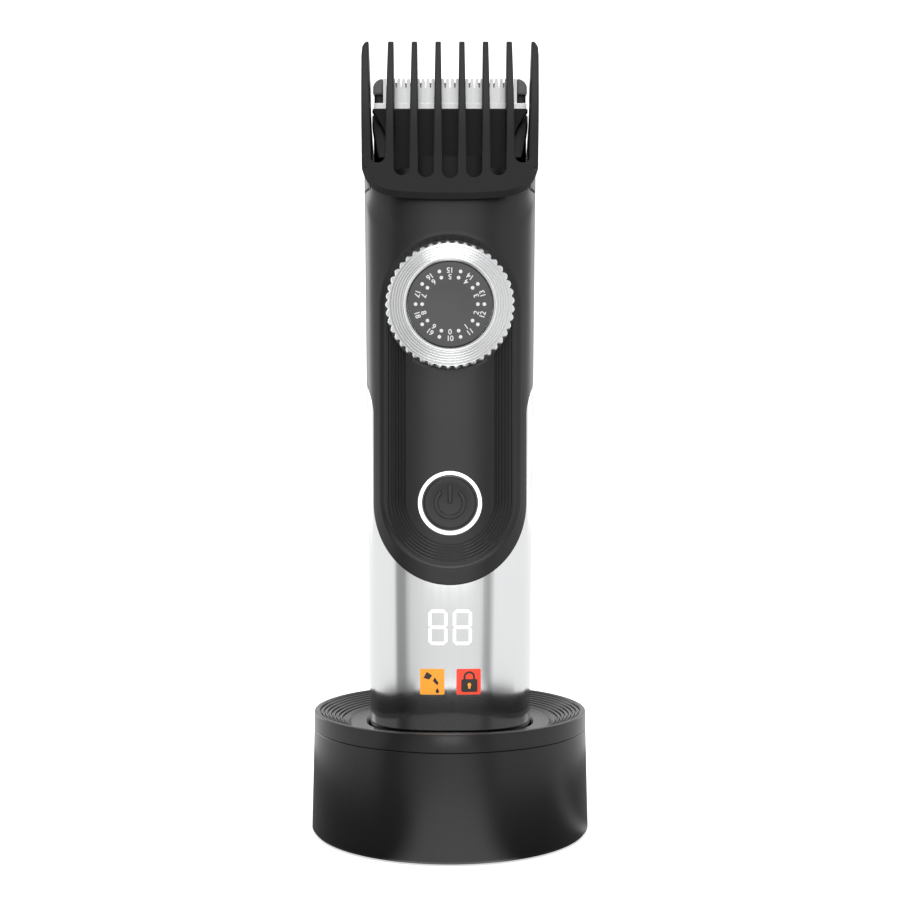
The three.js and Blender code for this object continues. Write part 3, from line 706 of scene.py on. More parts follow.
def panel_rays():
    """Where each ray of the panel's grid starts on the spine, which way it goes, and where it ends."""
    rays = []

    def add(centre_z, turn):
        across, up = math.cos(turn), math.sin(turn)
        if centre_z == BUTTON_Z and up < 0:
            reach = tongue_reach(-up)
        elif abs(up) < 1e-6:
            reach = panel_edge(centre_z)
        else:
            side_reach = half_width(BODY_HIGH_Z) / max(abs(across), 1e-6)
            reach = min(side_reach, (BODY_HIGH_Z - centre_z) / up)
        rays.append((centre_z, across, up, reach))

    corner = math.atan2(BODY_HIGH_Z - DIAL_Z, half_width(BODY_HIGH_Z))
    fan, steps, foot_steps = 14, 70, 80
    quarter = [math.pi / 2 + (corner - math.pi / 2) * i / fan for i in range(fan)]
    quarter += [corner * (1 - i / fan) for i in range(fan)]
    straight = [DIAL_Z + (BUTTON_Z - DIAL_Z) * i / steps for i in range(steps)]
    for turn in quarter:
        add(DIAL_Z, turn)
    for z in straight:
        add(z, 0)
    for i in range(foot_steps + 1):
        add(BUTTON_Z, -math.pi * i / foot_steps)
    for z in reversed(straight):
        add(z, math.pi)
    for turn in reversed(quarter):
        add(DIAL_Z, math.pi - turn)
    return rays


def panel_rings():
    """(radius, sink, groove share) from the spine out to the recess's edge."""
    sink = 0.55 * MM
    rings = [(GROOVES_INNER * i / 8, sink, 0) for i in range(8)]
    for index in range(PANEL_GROOVES):
        start = GROOVES_INNER + index * PANEL_GROOVE_PITCH
        for share, groove in ((0, 0), (0.15, 0), (0.3, 0.75), (0.45, 1), (0.6, 1), (0.75, 0.75), (0.9, 0)):
            rings.append((start + share * PANEL_GROOVE_PITCH, sink, groove))
    edge = RECESS_RADIUS
    rings += [(edge - 1.75 * MM, sink, 0), (edge - 1.35 * MM, sink, 0), (edge - 1.2 * MM, sink * 0.95, 0),
              (edge - 0.7 * MM, sink * 0.5, 0), (edge - 0.2 * MM, sink * 0.06, 0), (edge, 0, 0)]
    return rings


def front_panel():
    rays, rings = panel_rays(), panel_rings()
    outer_rings = 16
    columns, rows = len(rays) - 1, len(rings) + outer_rings - 1
    groove_depth = 0.3 * MM

    def place(u, v):
        centre_z, across, up, reach = rays[round(u * columns)]
        row = round(v * rows)
        bottom_share = max(-up, 0)
        squeeze = 1 - 0.07 * bottom_share
        if row < len(rings):
            radius, sink, groove = rings[row]
            radius *= 1 - (1 - squeeze) * min(radius / GROOVES_INNER, 1)
            sink += groove_depth * groove * (1 - 0.75 * bottom_share)
            x, z = radius * across, centre_z + radius * up
            return Vector((x, sink - front_depth(x, z) - PANEL_LIFT, z))
        inner = rings[-1][0] * squeeze
        share = (row - len(rings) + 1) / outer_rings
        start_x, start_z = inner * across, centre_z + inner * up
        end_x, end_z = reach * across, centre_z + reach * up
        z = start_z + (end_z - start_z) * share
        start_turn = math.acos(min(abs(start_x) / half_width(start_z), 1) ** (BODY_SQUARENESS / 2))
        end_turn = math.acos(min(abs(end_x) / half_width(end_z), 1) ** (BODY_SQUARENESS / 2))
        turn = start_turn + (end_turn - start_turn) * share
        x, y = section_point(turn, half_width(z), HALF_DEPTH, BODY_SQUARENESS)
        grow = 1 + PANEL_LIFT / HALF_DEPTH
        return Vector((math.copysign(x, across), -y * grow, z))

    panel = surface("panel_skin", columns, rows, place)
    weld(panel)
    if panel.data.polygons[0].normal.y > 0:
        edit(panel)
        bpy.ops.mesh.flip_normals()
        leave_edit()
    apply_modifier(panel, "SOLIDIFY", thickness=PANEL_WALL, offset=-1, use_even_offset=False)
    soften(panel, 0.22 * MM, 3, 70)
    dial_room = turned_facing("dial_room", [
        (0, -6 * MM), (DIAL_HIGH.x + 0.6 * MM, -6 * MM), (DIAL_HIGH.x + 0.6 * MM, 0.3 * MM), (0, 0.3 * MM),
    ], DIAL_HIGH.y, DIAL_Z, 128)
    button_room = turned_facing("button_room", [
        (0, -5 * MM), (LIGHT_HIGH.x + 0.15 * MM, -5 * MM), (LIGHT_HIGH.x + 0.15 * MM, 5 * MM), (0, 5 * MM),
    ], LIGHT_LOW.y, BUTTON_Z)
    cut(panel, dial_room, button_room)
    place_smooth(panel, "trimmer", "black_plastic", BLACK_PLASTIC, "front_panel", angle=30)

    collar = turned_facing("dial_collar", [
        (0, 0.2 * MM), (DIAL_HIGH.x - 0.2 * MM, 0.2 * MM), (DIAL_HIGH.x + 0.1 * MM, 0.5 * MM),
        (DIAL_HIGH.x + 0.1 * MM, 3.8 * MM), (0, 3.8 * MM),
    ], DIAL_HIGH.y, DIAL_Z)
    place_smooth(collar, "trimmer", "black_plastic", BLACK_PLASTIC)


NECK_OPENING = (12.6 * MM, 6.8 * MM, 1.6 * MM)
LIP_LOW_Z = BODY_HIGH_Z - 1.8 * MM
COLLAR_HIGH_Z = BODY_HIGH_Z + 3 * MM


def neck_opening():
    width, depth, centre_y = NECK_OPENING
    return section_bar("neck_opening", lambda z: width, depth, [LIP_LOW_Z - 3 * MM, BODY_HIGH_Z + 3 * MM],
                       centre_y=centre_y)


def rear_housing():
    low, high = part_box("rear_housing")
    shell = section_bar("rear_shell", half_width, HALF_DEPTH, [low.z, high.z], sides=220)
    soften(shell, 0.22 * MM, 3, 60)
    inner = section_bar("rear_inner", inset_width(2 * MM), HALF_DEPTH - 2 * MM,
                        [low.z - MM, LIP_LOW_Z], sides=220)
    front_half = brick("front_half", (-30 * MM, -30 * MM, low.z - MM), (30 * MM, 0.12 * MM, high.z + MM))
    cut(shell, inner, front_half, neck_opening())
    place_smooth(shell, "trimmer", "black_plastic", BLACK_PLASTIC, "rear_housing", angle=40)

    lip = section_bar("panel_lip", inset_width(0.9 * MM), HALF_DEPTH - 0.9 * MM,
                      [LIP_LOW_Z, high.z - 0.05 * MM])
    rear_half = brick("rear_half", (-30 * MM, 0.05 * MM, low.z), (30 * MM, 30 * MM, high.z + MM))
    slot_low, slot_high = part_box("comb_carriage")
    slot = brick("tongue_slot", (-5.5 * MM, slot_low.y - 0.4 * MM, low.z),
                 (5.5 * MM, -11.2 * MM, slot_high.z))
    cut(lip, rear_half, neck_opening(), slot)
    place_smooth(lip, "trimmer", "black_plastic", BLACK_PLASTIC)


def head_collar():
    """The raised rim round the head's seat, open at the front where the comb's clip goes in."""
    low = BODY_HIGH_Z - 0.5 * MM
    collar = section_bar("head_collar", lambda z: half_width(z) + 0.02 * MM, HALF_DEPTH + 0.03 * MM,
                         [low, COLLAR_HIGH_Z], sides=220)
    soften(collar, 0.12 * MM, 3, 60)
    inner = section_bar("collar_inner", lambda z: 19 * MM, HALF_DEPTH - 1.5 * MM,
                        [low - MM, COLLAR_HIGH_Z + MM], sides=220)
    notch = brick("collar_notch", (-9 * MM, -20 * MM, low - MM), (9 * MM, 0, COLLAR_HIGH_Z + MM))
    cut(collar, inner, notch)
    place_smooth(collar, "trimmer", "black_plastic", BLACK_PLASTIC, angle=40)


def bottom_cap():
    flange = section_bar("foot_cap", half_width, HALF_DEPTH, [BOTTOM_LOW.z, SLEEVE_LOW.z - 0.2 * MM])
    soften(flange, 0.5 * MM, 3, 60)
    spigot = section_bar("foot_spigot", inset_width(2 * MM), HALF_DEPTH - 2 * MM,
                         [SLEEVE_LOW.z - 0.4 * MM, BOTTOM_HIGH.z])
    unite(flange, spigot)
    for side in ("left", "right"):
        for kind, radius, depth in (("charge_contact", 2.4, 1.8), ("bottom_screw", 2.1, 1.9)):
            low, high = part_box(f"{kind}_{side}")
            centre = ((low.x + high.x) / 2, 0, BOTTOM_LOW.z)
            well = turned("foot_well", [(0, -MM), (radius * MM, -MM), (radius * MM, depth * MM),
                                        (1.2 * MM, depth * MM), (1.2 * MM, 8 * MM), (0, 8 * MM)],
                          centre=centre, steps=40)
            cut(flange, well)
    place_smooth(flange, "trimmer", "black_plastic", BLACK_PLASTIC, "bottom_cap", angle=40)


dock_shell()
dock_top_cap()
dock_feet()
dock_socket()
contact_spring("left")
contact_spring("right")
silver_sleeve()
front_panel()
rear_housing()
head_collar()
bottom_cap()

# ---------- dial ----------

SCALLOPS = 45
SCALLOP_DEPTH = 0.6 * MM
DIAL_RINGS = (11.07, 11.65, 12.23, 12.83, 13.41, 14.08)
SCALE_RADII = (6.45 * MM, 7.95 * MM)
NUMERAL_SIZE = 1.75 * MM
STEPS_ON_SCALE = 10


def dial_ring():
    crown, slope_start = 10.65, 13.5
    depth = DIAL_HIGH.y - DIAL_LOW.y

    def fall(radius):
        return 0.4 * max(radius - crown, 0) / (slope_start - crown)

    profile = [(2, 2.3), (9.95, 2.3), (9.95, 0.62), (10.0, 0.52), (10.55, 0.04), (crown, 0)]
    for radius in DIAL_RINGS:
        level = fall(radius)
        profile += [(radius - 0.15, level), (radius - 0.04, level + 0.1),
                    (radius + 0.04, level + 0.1), (radius + 0.15, level)]
    profile += [(14.45, 0.6), (14.75, 0.78), (14.93, 1.05), (15, 1.4)]
    profile = millimetres(profile)
    profile += [(15 * MM, depth - 0.6 * MM), (14.6 * MM, depth - 0.2 * MM), (14.2 * MM, depth),
                (2 * MM, depth), profile[0]]
    ring = turned_facing("scalloped_dial", profile, DIAL_LOW.y, DIAL_Z, SCALLOPS * 10)
    for vertex in ring.data.vertices:
        across, up = vertex.co.x, vertex.co.z - DIAL_Z
        radius = math.hypot(across, up)
        share = min(max((radius - 14.2 * MM) / (0.6 * MM), 0), 1)
        if share:
            wave = 1 - abs(math.sin(math.atan2(up, across) * SCALLOPS / 2))
            shrink = 1 - share * wave * SCALLOP_DEPTH / radius
            vertex.co.x, vertex.co.z = across * shrink, DIAL_Z + up * shrink
    place_smooth(ring, "dial", "dial_silver", DIAL_SILVER, "dial_ring", angle=50)


def dial_face():
    depth = FACE_HIGH.y - FACE_LOW.y
    edge = FACE_HIGH.x
    face = turned_facing("dial_plate", [
        (0, 0.06 * MM), (4.75 * MM, 0.06 * MM), (4.85 * MM, 0), (edge - 0.3 * MM, 0),
        (edge - 0.06 * MM, 0.08 * MM), (edge, 0.3 * MM), (edge, depth), (0, depth),
    ], FACE_LOW.y, DIAL_Z, 120)
    place_smooth(face, "dial", "dial_face", DIAL_FACE, "dial_face")


def on_scale(radius, turn):
    """A spot on the dial's face, turn measured from its foot towards the right."""
    return Vector((radius * math.sin(turn), FACE_LOW.y, DIAL_Z - radius * math.cos(turn)))


def numeral(value, radius, turn):
    bpy.ops.object.text_add()
    text = bpy.context.object
    text.data.body = str(value)
    text.data.size = NUMERAL_SIZE
    text.data.extrude = 0.04 * MM
    text.data.offset = 0.03 * MM
    text.data.resolution_u = 4
    text.data.space_character = 0.92
    text.data.align_x, text.data.align_y = "CENTER", "CENTER"
    bpy.ops.object.convert(target="MESH")
    mark = named("numeral")
    mark.rotation_euler = (math.pi / 2, -turn, 0)
    mark.location = on_scale(radius, turn)
    settle(mark)
    return mark


def dial_scale():
    """Two rings of plain numbers, 0 to 9 and 10 to 19, with a dot halfway between neighbours."""
    profile = millimetres([(0, -0.045), (0.36, -0.045), (0.43, 0), (0.43, 0.05), (0, 0.05)])
    dot = turned_facing("scale_dot", profile, 0, 0, 20)
    marks = []
    for ring, radius in enumerate(SCALE_RADII):
        for step in range(STEPS_ON_SCALE):
            turn = FULL_TURN * step / STEPS_ON_SCALE
            marks.append(numeral(step + ring * STEPS_ON_SCALE, radius, turn))
            spot = copy_of(dot, "scale_dot")
            spot.location = on_scale(radius, turn + FULL_TURN / STEPS_ON_SCALE / 2)
            settle(spot)
            marks.append(spot)
    bpy.data.objects.remove(dot)
    scale = gather("dial_numbers", marks)
    weld(scale, 0.0005 * MM)
    place_piece(scale, "dial", "dial_silver", WHITE_PRINT)


# ---------- power button ----------


def power_light():
    inner, outer = 6.6 * MM, LIGHT_HIGH.x
    depth = LIGHT_HIGH.y - LIGHT_LOW.y
    ring = turned_facing("lit_ring", [
        (inner, 0.3 * MM), (inner + 0.1 * MM, 0.08 * MM), (inner + 0.3 * MM, 0), (outer - 0.3 * MM, 0),
        (outer - 0.1 * MM, 0.08 * MM), (outer, 0.3 * MM), (outer, depth), (inner, depth), (inner, 0.3 * MM),
    ], LIGHT_LOW.y, BUTTON_Z)
    place_smooth(ring, "trimmer", "light_ring", RING_LIGHT, "power_light_ring")


def band_outline(radius, width, start, end, count):
    """A ring segment with square ends, around the button's centre."""
    outside = arc(0, BUTTON_Z, radius + width / 2, start, end, count)
    inside = arc(0, BUTTON_Z, radius - width / 2, end, start, count)
    return outside + inside


def power_button():
    depth = BUTTON_HIGH.y - BUTTON_LOW.y
    edge = BUTTON_HIGH.x
    cap_depth = 1.7 * MM
    button = turned_facing("dished_button", [
        (0, 0.34 * MM), (2.5 * MM, 0.28 * MM), (4.4 * MM, 0.13 * MM), (5.6 * MM, 0), (6.05 * MM, 0.03 * MM),
        (edge - 0.08 * MM, 0.2 * MM), (edge, 0.45 * MM), (edge, cap_depth), (1.6 * MM, cap_depth),
        (1.6 * MM, depth), (0, depth),
    ], BUTTON_LOW.y, BUTTON_Z)
    place_smooth(button, "button", "black_plastic", BLACK_PLASTIC, "power_button")

    stroke = 1.1 * MM
    front, back = BUTTON_LOW.y - 0.02 * MM, BUTTON_LOW.y + 0.8 * MM
    circle = front_outline("symbol_arc", band_outline(3.3 * MM, stroke, 128, 412, 48), front, back)
    bar = front_outline("symbol_bar", [
        (-stroke / 2, BUTTON_Z - 0.1 * MM), (stroke / 2, BUTTON_Z - 0.1 * MM),
        (stroke / 2, BUTTON_Z + 4.1 * MM), (-stroke / 2, BUTTON_Z + 4.1 * MM)], front, back)
    symbol = gather("power_symbol", [circle, bar])
    soften(symbol, 0.26 * MM, 3)
    place_crisp(symbol, "button", "black_plastic", BLACK_PLASTIC)


# ---------- display and indicators ----------

DIGIT_LEFT = (-5.05 * MM, 0.7 * MM)
DIGIT_FOOT_Z = 46.5 * MM
DIGIT_WIDTH = 4.4 * MM
DIGIT_HEIGHT = 8.2 * MM
SEGMENT_STROKE = 0.68 * MM
SEGMENT_GAP = 0.12 * MM


def inlay(name, outline, thickness=0.4 * MM, lift=0.04 * MM):
    """A thin plate with the given (x, z) outline, curved to lie in the body's front."""
    plate = front_outline(name, outline, -0.01 * MM, thickness)
    low_x = min(x for x, z in outline)
    high_x = max(x for x, z in outline)
    strips = max(round((high_x - low_x) / (0.7 * MM)), 1)
    edit(plate)
    for index in range(1, strips):
        at = low_x + (high_x - low_x) * index / strips
        bpy.ops.mesh.select_all(action="SELECT")
        bpy.ops.mesh.bisect(plane_co=(at, 0, 0), plane_no=(1, 0, 0))
    leave_edit()
    lay_on_body(plate, lift)
    return plate


def segment(start, end):
    """One bar of a digit, pointed at both ends, from start to end."""
    along = (Vector(end) - Vector(start)).normalized()
    aside = Vector((-along.y, along.x)) * SEGMENT_STROKE / 2
    tip = along * SEGMENT_STROKE / 2
    first, last = Vector(start) + along * SEGMENT_GAP, Vector(end) - along * SEGMENT_GAP
    points = [first, first + tip - aside, last - tip - aside, last, last - tip + aside, first + tip + aside]
    return inlay("digit_segment", [(point.x, point.y) for point in points])


def display_digits():
    pieces = []
    half = SEGMENT_STROKE / 2
    for left in DIGIT_LEFT:
        low_x, high_x = left + half, left + DIGIT_WIDTH - half
        levels = [DIGIT_FOOT_Z + half, DIGIT_FOOT_Z + DIGIT_HEIGHT / 2, DIGIT_FOOT_Z + DIGIT_HEIGHT - half]
        pieces += [segment((low_x, z), (high_x, z)) for z in levels]
        for foot, head in zip(levels, levels[1:]):
            pieces += [segment((x, foot), (x, head)) for x in (low_x, high_x)]
    digits = gather("display_digits", pieces)
    place_piece(digits, "trimmer", "light_ring", DIGIT_LIGHT)


def rounded_box(low_x, low_z, high_x, high_z, radius):
    return (arc(high_x - radius, high_z - radius, radius, 0, 90, 6)
            + arc(low_x + radius, high_z - radius, radius, 90, 180, 6)
            + arc(low_x + radius, low_z + radius, radius, 180, 270, 6)
            + arc(high_x - radius, low_z + radius, radius, 270, 360, 6))


def indicator(name, node, slot, material):
    low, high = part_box(node)
    plate = inlay(name, rounded_box(low.x, low.z, high.x, high.z, 0.35 * MM), 1.4 * MM, 0.03 * MM)
    place_piece(plate, "trimmer", slot, material, node)

    def spot(across, up):
        return low.x + (high.x - low.x) * across, low.z + (high.z - low.z) * up

    return spot, high.x - low.x


def pictogram(name, outline):
    mark = inlay(name, outline, 0.1 * MM, 0.07 * MM)
    place_piece(mark, "trimmer", "black_plastic", DARK_PRINT)


def oil_indicator():
    spot, size = indicator("oil_lens", "oil_indicator_lens", "amber_lens", AMBER_LIGHT)
    pictogram("oil_bottle", [spot(0.14, 0.64), spot(0.375, 0.585), spot(0.5, 0.745), spot(0.275, 0.885)])
    pictogram("oil_spout", [spot(0.525, 0.53), spot(0.66, 0.4), spot(0.73, 0.38), spot(0.76, 0.46),
                            spot(0.6, 0.68)])
    drop_x, drop_z = spot(0.71, 0.125)
    drop = arc(drop_x, drop_z, 0.075 * size, 150, 390, 16)
    pictogram("oil_drop", drop + [spot(0.71, 0.26)])


def lock_indicator():
    spot, size = indicator("lock_lens", "lock_indicator_lens", "red_lens", RED_LIGHT)
    middle = 0.53
    low_x, low_z = spot(middle - 0.33, 0.1)
    high_x, high_z = spot(middle + 0.33, 0.6)
    pictogram("lock_body", rounded_box(low_x, low_z, high_x, high_z, 0.06 * size))
    arch_x, arch_z = spot(middle, 0.68)
    outer, inner = 0.24 * size, 0.155 * size
    foot = high_z - 0.02 * size
    outline = [(arch_x + outer, foot)] + arc(arch_x, arch_z, outer, 0, 180, 20) + [(arch_x - outer, foot)]
    outline += [(arch_x - inner, foot)] + arc(arch_x, arch_z, inner, 180, 0, 20) + [(arch_x + inner, foot)]
    pictogram("lock_shackle", outline)
    hole_x, hole_z = spot(middle, 0.385)
    narrow = 0.045 * size
    hole = arc(hole_x, hole_z, 0.075 * size, -50, 230, 18)
    hole += [(hole_x - narrow, hole_z - 0.16 * size), (hole_x + narrow, hole_z - 0.16 * size)]
    keyhole = inlay("lock_keyhole", hole, 0.1 * MM, 0.1 * MM)
    place_piece(keyhole, "trimmer", "amber_lens", AMBER_LIGHT)


dial_ring()
dial_face()
dial_scale()
power_light()
power_button()
display_digits()
oil_indicator()
lock_indicator()

# ---------- head and blades ----------

BLADE_TEETH = 26
BLADE_PITCH = 1.17 * MM
CUTTER_TEETH = 14
CUTTER_PITCH = 2 * MM
BLADE_SCREW_X, BLADE_SCREW_Z = 10 * MM, 166.4 * MM
NECK_CENTRE_Y = 0.7 * MM


def mirrored_outline(right_half):
    """The whole outline from the half on the right, listed from the foot up."""
    return right_half + [(-x, z) for x, z in reversed(right_half)]


def curve(start, lean, pull, end, count=8):
    """Points on a Bezier curve, leaving out the first."""
    points = []
    for index in range(1, count + 1):
        t = index / count
        weights = ((1 - t) ** 3, 3 * t * (1 - t) ** 2, 3 * t * t * (1 - t), t ** 3)
        points.append(tuple(sum(w * p[axis] for w, p in zip(weights, (start, lean, pull, end)))
                            for axis in (0, 1)))
    return points


def head_cover():
    half = millimetres([(15, 156), (15.05, 160), (15.2, 164), (15.6, 167.2), (16.4, 168.9), (18.1, 171.7),
                        (18.5, 172.3), (18.5, 173.2)])
    cover = front_outline("head_front_plate", mirrored_outline(half), COVER_LOW.y, COVER_HIGH.y)
    soften(cover, 0.45 * MM, 4, 50)
    place_crisp(cover, "trimmer", "black_plastic", HEAD_PLASTIC, "head_cover")


def head_base():
    neck = section_bar("head_neck", lambda z: 18.65 * MM, 8.3 * MM, [BASE_LOW.z, BASE_HIGH.z - 0.05 * MM],
                       centre_y=NECK_CENTRE_Y)
    soften(neck, 0.4 * MM, 3, 60)
    half = millimetres([(17.4, 162), (18.0, 164.6), (18.6, 168.4), (18.75, 170), (18.75, 172.6)])
    flare = front_outline("head_flare", mirrored_outline(half), -5.9 * MM, 6.5 * MM)
    soften(flare, 0.5 * MM, 3, 50)
    unite(neck, flare)
    cut(neck, brick_mm("blade_flat", (-20, -9, 164.2), (20, -5.9, 175)),
        brick_mm("driver_room", (-5.2, -5.3, 155), (5.2, 8.2, 163.6)),
        brick_mm("post_room", (-4.2, -5.3, 158), (4.2, -3, 175)),
        brick_mm("cutter_room", (-15.4, -6.5, 168.5), (15.4, -3, 175)))
    place_crisp(neck, "trimmer", "black_plastic", BLACK_PLASTIC, "head_base", angle=40)


def toothed_outline(half_across, bottom, tip, count, pitch, depth, corner=0):
    """A blade's outline with rounded teeth along the top, from the left foot round to the right."""
    end = (count * pitch) / 2 + pitch * 0.09
    side = [(half_across - corner, bottom), (half_across, bottom + 3 * corner), (half_across, tip - 0.1 * MM),
            (half_across - 0.1 * MM, tip), (end, tip), (end, tip - depth)]
    tooth = [(-0.41, depth), (-0.3, 0.25 * MM), (-0.18, 0), (0.18, 0), (0.3, 0.25 * MM), (0.41, depth)]
    points = [(-x, z) for x, z in side]
    for index in range(count):
        x = (index - (count - 1) / 2) * pitch
        points += [(x + pitch * share, tip - sink) for share, sink in tooth]
    return points + side[::-1]


def cut_screw_holes(plate, radius, front_y):
    for side in (-1, 1):
        hole = turned_facing("screw_hole", [(0, -3 * MM), (radius, -3 * MM), (radius, 3 * MM), (0, 3 * MM)],
                             front_y, BLADE_SCREW_Z, 32, side * BLADE_SCREW_X)
        cut(plate, hole)


def blades():
    fixed = front_outline("fixed_toothed_blade", toothed_outline(
        16.05 * MM, BLADE_LOW.z, BLADE_HIGH.z, BLADE_TEETH, BLADE_PITCH, 2.2 * MM, 2 * MM),
        BLADE_LOW.y, BLADE_HIGH.y)
    moving = front_outline("moving_toothed_cutter", toothed_outline(
        CUTTER_HIGH.x, CUTTER_LOW.z, CUTTER_HIGH.z, CUTTER_TEETH, CUTTER_PITCH, 2.4 * MM, MM),
        CUTTER_LOW.y, CUTTER_HIGH.y)
    cut_screw_holes(fixed, 1.2 * MM, BLADE_LOW.y)
    for blade in (fixed, moving):
        soften(blade, 0.06 * MM, 2, 50)
        crisp(blade)
    place_piece(fixed, "trimmer", "blade_steel", BLADE_STEEL, "fixed_blade")
    # The moving cutter takes the darkened steel, painted shade seen through the blade's slits.
    place_piece(moving, "cutter", "blade_steel", SHADED_CUTTER_STEEL, "moving_cutter")


def blade_clamp():
    half = millimetres([(13, 165.2), (14.2, 168), (17.4, 172.8), (18.3, 173.6), (18.3, 174.9)])
    clamp = front_outline("blade_clamp_plate", mirrored_outline(half), CLAMP_LOW.y, CLAMP_HIGH.y)
    cut_screw_holes(clamp, 1.9 * MM, CLAMP_LOW.y)
    soften(clamp, 0.12 * MM, 2, 50)
    place_crisp(clamp, "trimmer", "blade_steel", BLADE_STEEL, "blade_clamp")


def end_guards():
    """The rounded guards beside the toothed blade, each on a dark post."""
    for side in ("right", "left"):
        low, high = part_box(f"blade_end_guard_{side}")
        sign = 1 if high.x > 0 else -1
        foot = 177.3 * MM
        inner, outer = 16.1 * MM, 18.5 * MM
        outline = [(inner, foot), (outer, foot)]
        outline += curve((outer, 178.6 * MM), (outer, 180 * MM), (17.3 * MM, high.z), (inner, high.z), 10)
        guard = front_outline("rounded_guard", [(sign * x, z) for x, z in outline], low.y, -4 * MM)
        soften(guard, 0.35 * MM, 3, 50)
        place_crisp(guard, "trimmer", "grey_plastic", GUARD_PLASTIC, f"blade_end_guard_{side}")
        near, far = sorted((sign * 16 * MM, sign * 18.2 * MM))
        post = brick("guard_post", (near, low.y + 0.9 * MM, 172.6 * MM), (far, -4.2 * MM, foot + 0.3 * MM))
        soften(post, 0.2 * MM, 2)
        place_smooth(post, "trimmer", "grey_plastic", BLACK_PLASTIC)


# ---------- comb guard ----------

COMB_HALF_WIDTH = 20.45 * MM
COMB_WALL = 1.6 * MM
COMB_TIP_Z = 188.6 * MM
COMB_LOWER_EDGE = 1.3 * MM
COMB_TEETH = 8
COMB_PITCH = 5.6 * MM
COMB_SLOT = 3.6 * MM
SLOT_TOP_Z = 180 * MM
SLOT_BOTTOMS = (154.8 * MM, 155 * MM, 155.5 * MM, 158.4 * MM)
TOOTH_FOOT_Z = 160 * MM
TOOTH_LOW, OUTER_TOOTH_LOW = 154.6, 157.3  # where teeth end inside the comb's frame, in mm


def tooth_rise(vertex):
    """0 at a tooth's foot, 1 at its tip."""
    return min(max((vertex.co.z - TOOTH_FOOT_Z) / (COMB_TIP_Z - TOOTH_FOOT_Z), 0), 1)


def comb_tooth(name, centre_x, foot_width, tip_width, low=TOOTH_LOW, corner=0.2 * MM):
    """One tooth, leaning back to a rounded tip and getting thinner towards it."""
    foot, shoulder = (-18.97, 161), (-12.7, 187)
    outline = [(-18.97, low), foot] + curve(foot, (-18.97, 171), (-16.2, 178), shoulder, 12)
    outline += curve(shoulder, (-12.35, 188), (-12, 188.6), (-11, 188.6), 5)
    outline += curve((-11, 188.6), (-10.2, 188.6), (-9.8, 188.2), (-9.7, 187.4), 4)
    outline += [(-8.6, 178), (-10.2, 173.6), (-10.2, 168), (-17.5, 159.5), (-17.5, low)]
    tooth = side_outline(name, millimetres(outline), -0.5 * MM, 0.5 * MM)
    soften(tooth, corner, 3, 40)
    for vertex in tooth.data.vertices:
        rise = tooth_rise(vertex)
        width = foot_width + (tip_width - foot_width) * rise
        vertex.co.x = centre_x + vertex.co.x * width / MM
    return tooth


def outer_tooth(side):
    """The tooth at the comb's side: straight outside, with a rounded shoulder."""
    tooth = comb_tooth("comb_outer_tooth", 0, 2 * MM, 2 * MM, OUTER_TOOTH_LOW, 0.24 * MM)
    outside = COMB_HALF_WIDTH - 0.02 * MM
    for vertex in tooth.data.vertices:
        rise = tooth_rise(vertex)
        width = (2.2 - 0.5 * rise) * MM
        share = vertex.co.x / (2 * MM) + 0.5
        drop = max(rise - 0.9, 0) / 0.1
        shoulder = 1.1 * MM * share * drop ** 2.2
        vertex.co.x = side * (outside + 0.5 * MM * rise - shoulder - (1 - share) * width)
    if side < 0:
        edit(tooth)
        face_outward()
        leave_edit()
    return tooth


def upright_block(name, half_across, y_low, y_high, z_low, z_high, corner):
    """A block with its upright corners rounded."""
    block = brick(name, (-half_across, y_low, z_low), (half_across, y_high, z_high))
    edit(block)
    bpy.ops.mesh.select_all(action="DESELECT")
    leave_edit()
    for edge in block.data.edges:
        start, end = (block.data.vertices[index].co for index in edge.vertices)
        edge.select = abs(start.z - end.z) > abs(z_high - z_low) / 2
    work_on(block)
    bpy.ops.object.mode_set(mode="EDIT")
    bpy.ops.mesh.bevel(offset=corner, segments=8)
    leave_edit()
    return block


def comb_frame():
    low, high = COMB_LOW.z, 174 * MM
    front_y = COMB_LOW.y
    frame = upright_block("comb_frame", COMB_HALF_WIDTH, front_y, 14 * MM, low, high, 0.5 * MM)
    half = millimetres([(0, 150.15), (4.5, 150.2), (9, 150.4), (12.5, 150.65), (15, 151.1), (17, 151.9),
                        (18.4, 153.1), (19.5, 154.7), (20.1, 156.2), (20.5, 157.3), (21.7, 158.5), (23, 160),
                        (23, 176)])
    front = front_outline("comb_front_shape", mirrored_outline(half)[:-1], front_y - 0.04 * MM, 16 * MM)
    soften(front, COMB_LOWER_EDGE, 1, 50)
    side = side_outline("comb_side_shape", millimetres(
        [(-21, 149), (-13.5, 149), (-8, 152.4), (-2, 156.2), (4.2, 158.8), (5.6, 159.8), (6.2, 161),
         (5.6, 163), (4.4, 164.8), (-4.8, 170.4), (-9, 172.6), (-12, 173),
         (-14.5, 170), (-17.2, 164.6), (-18.5, 161.2),
         (-19.3, 160.2), (-21, 160.2)]), -23 * MM, 23 * MM)
    combine(frame, front, "INTERSECT")
    combine(frame, side, "INTERSECT")
    inner = upright_block("comb_inner", COMB_HALF_WIDTH - COMB_WALL, front_y + COMB_WALL, 16 * MM,
                          low - 5 * MM, high + 5 * MM, 0.8 * MM)
    body_room = section_bar("body_room", lambda z: half_width(z) + 0.3 * MM, HALF_DEPTH + 0.3 * MM,
                            [130 * MM, COLLAR_HIGH_Z + 0.3 * MM])
    cut(frame, inner, body_room)
    return frame


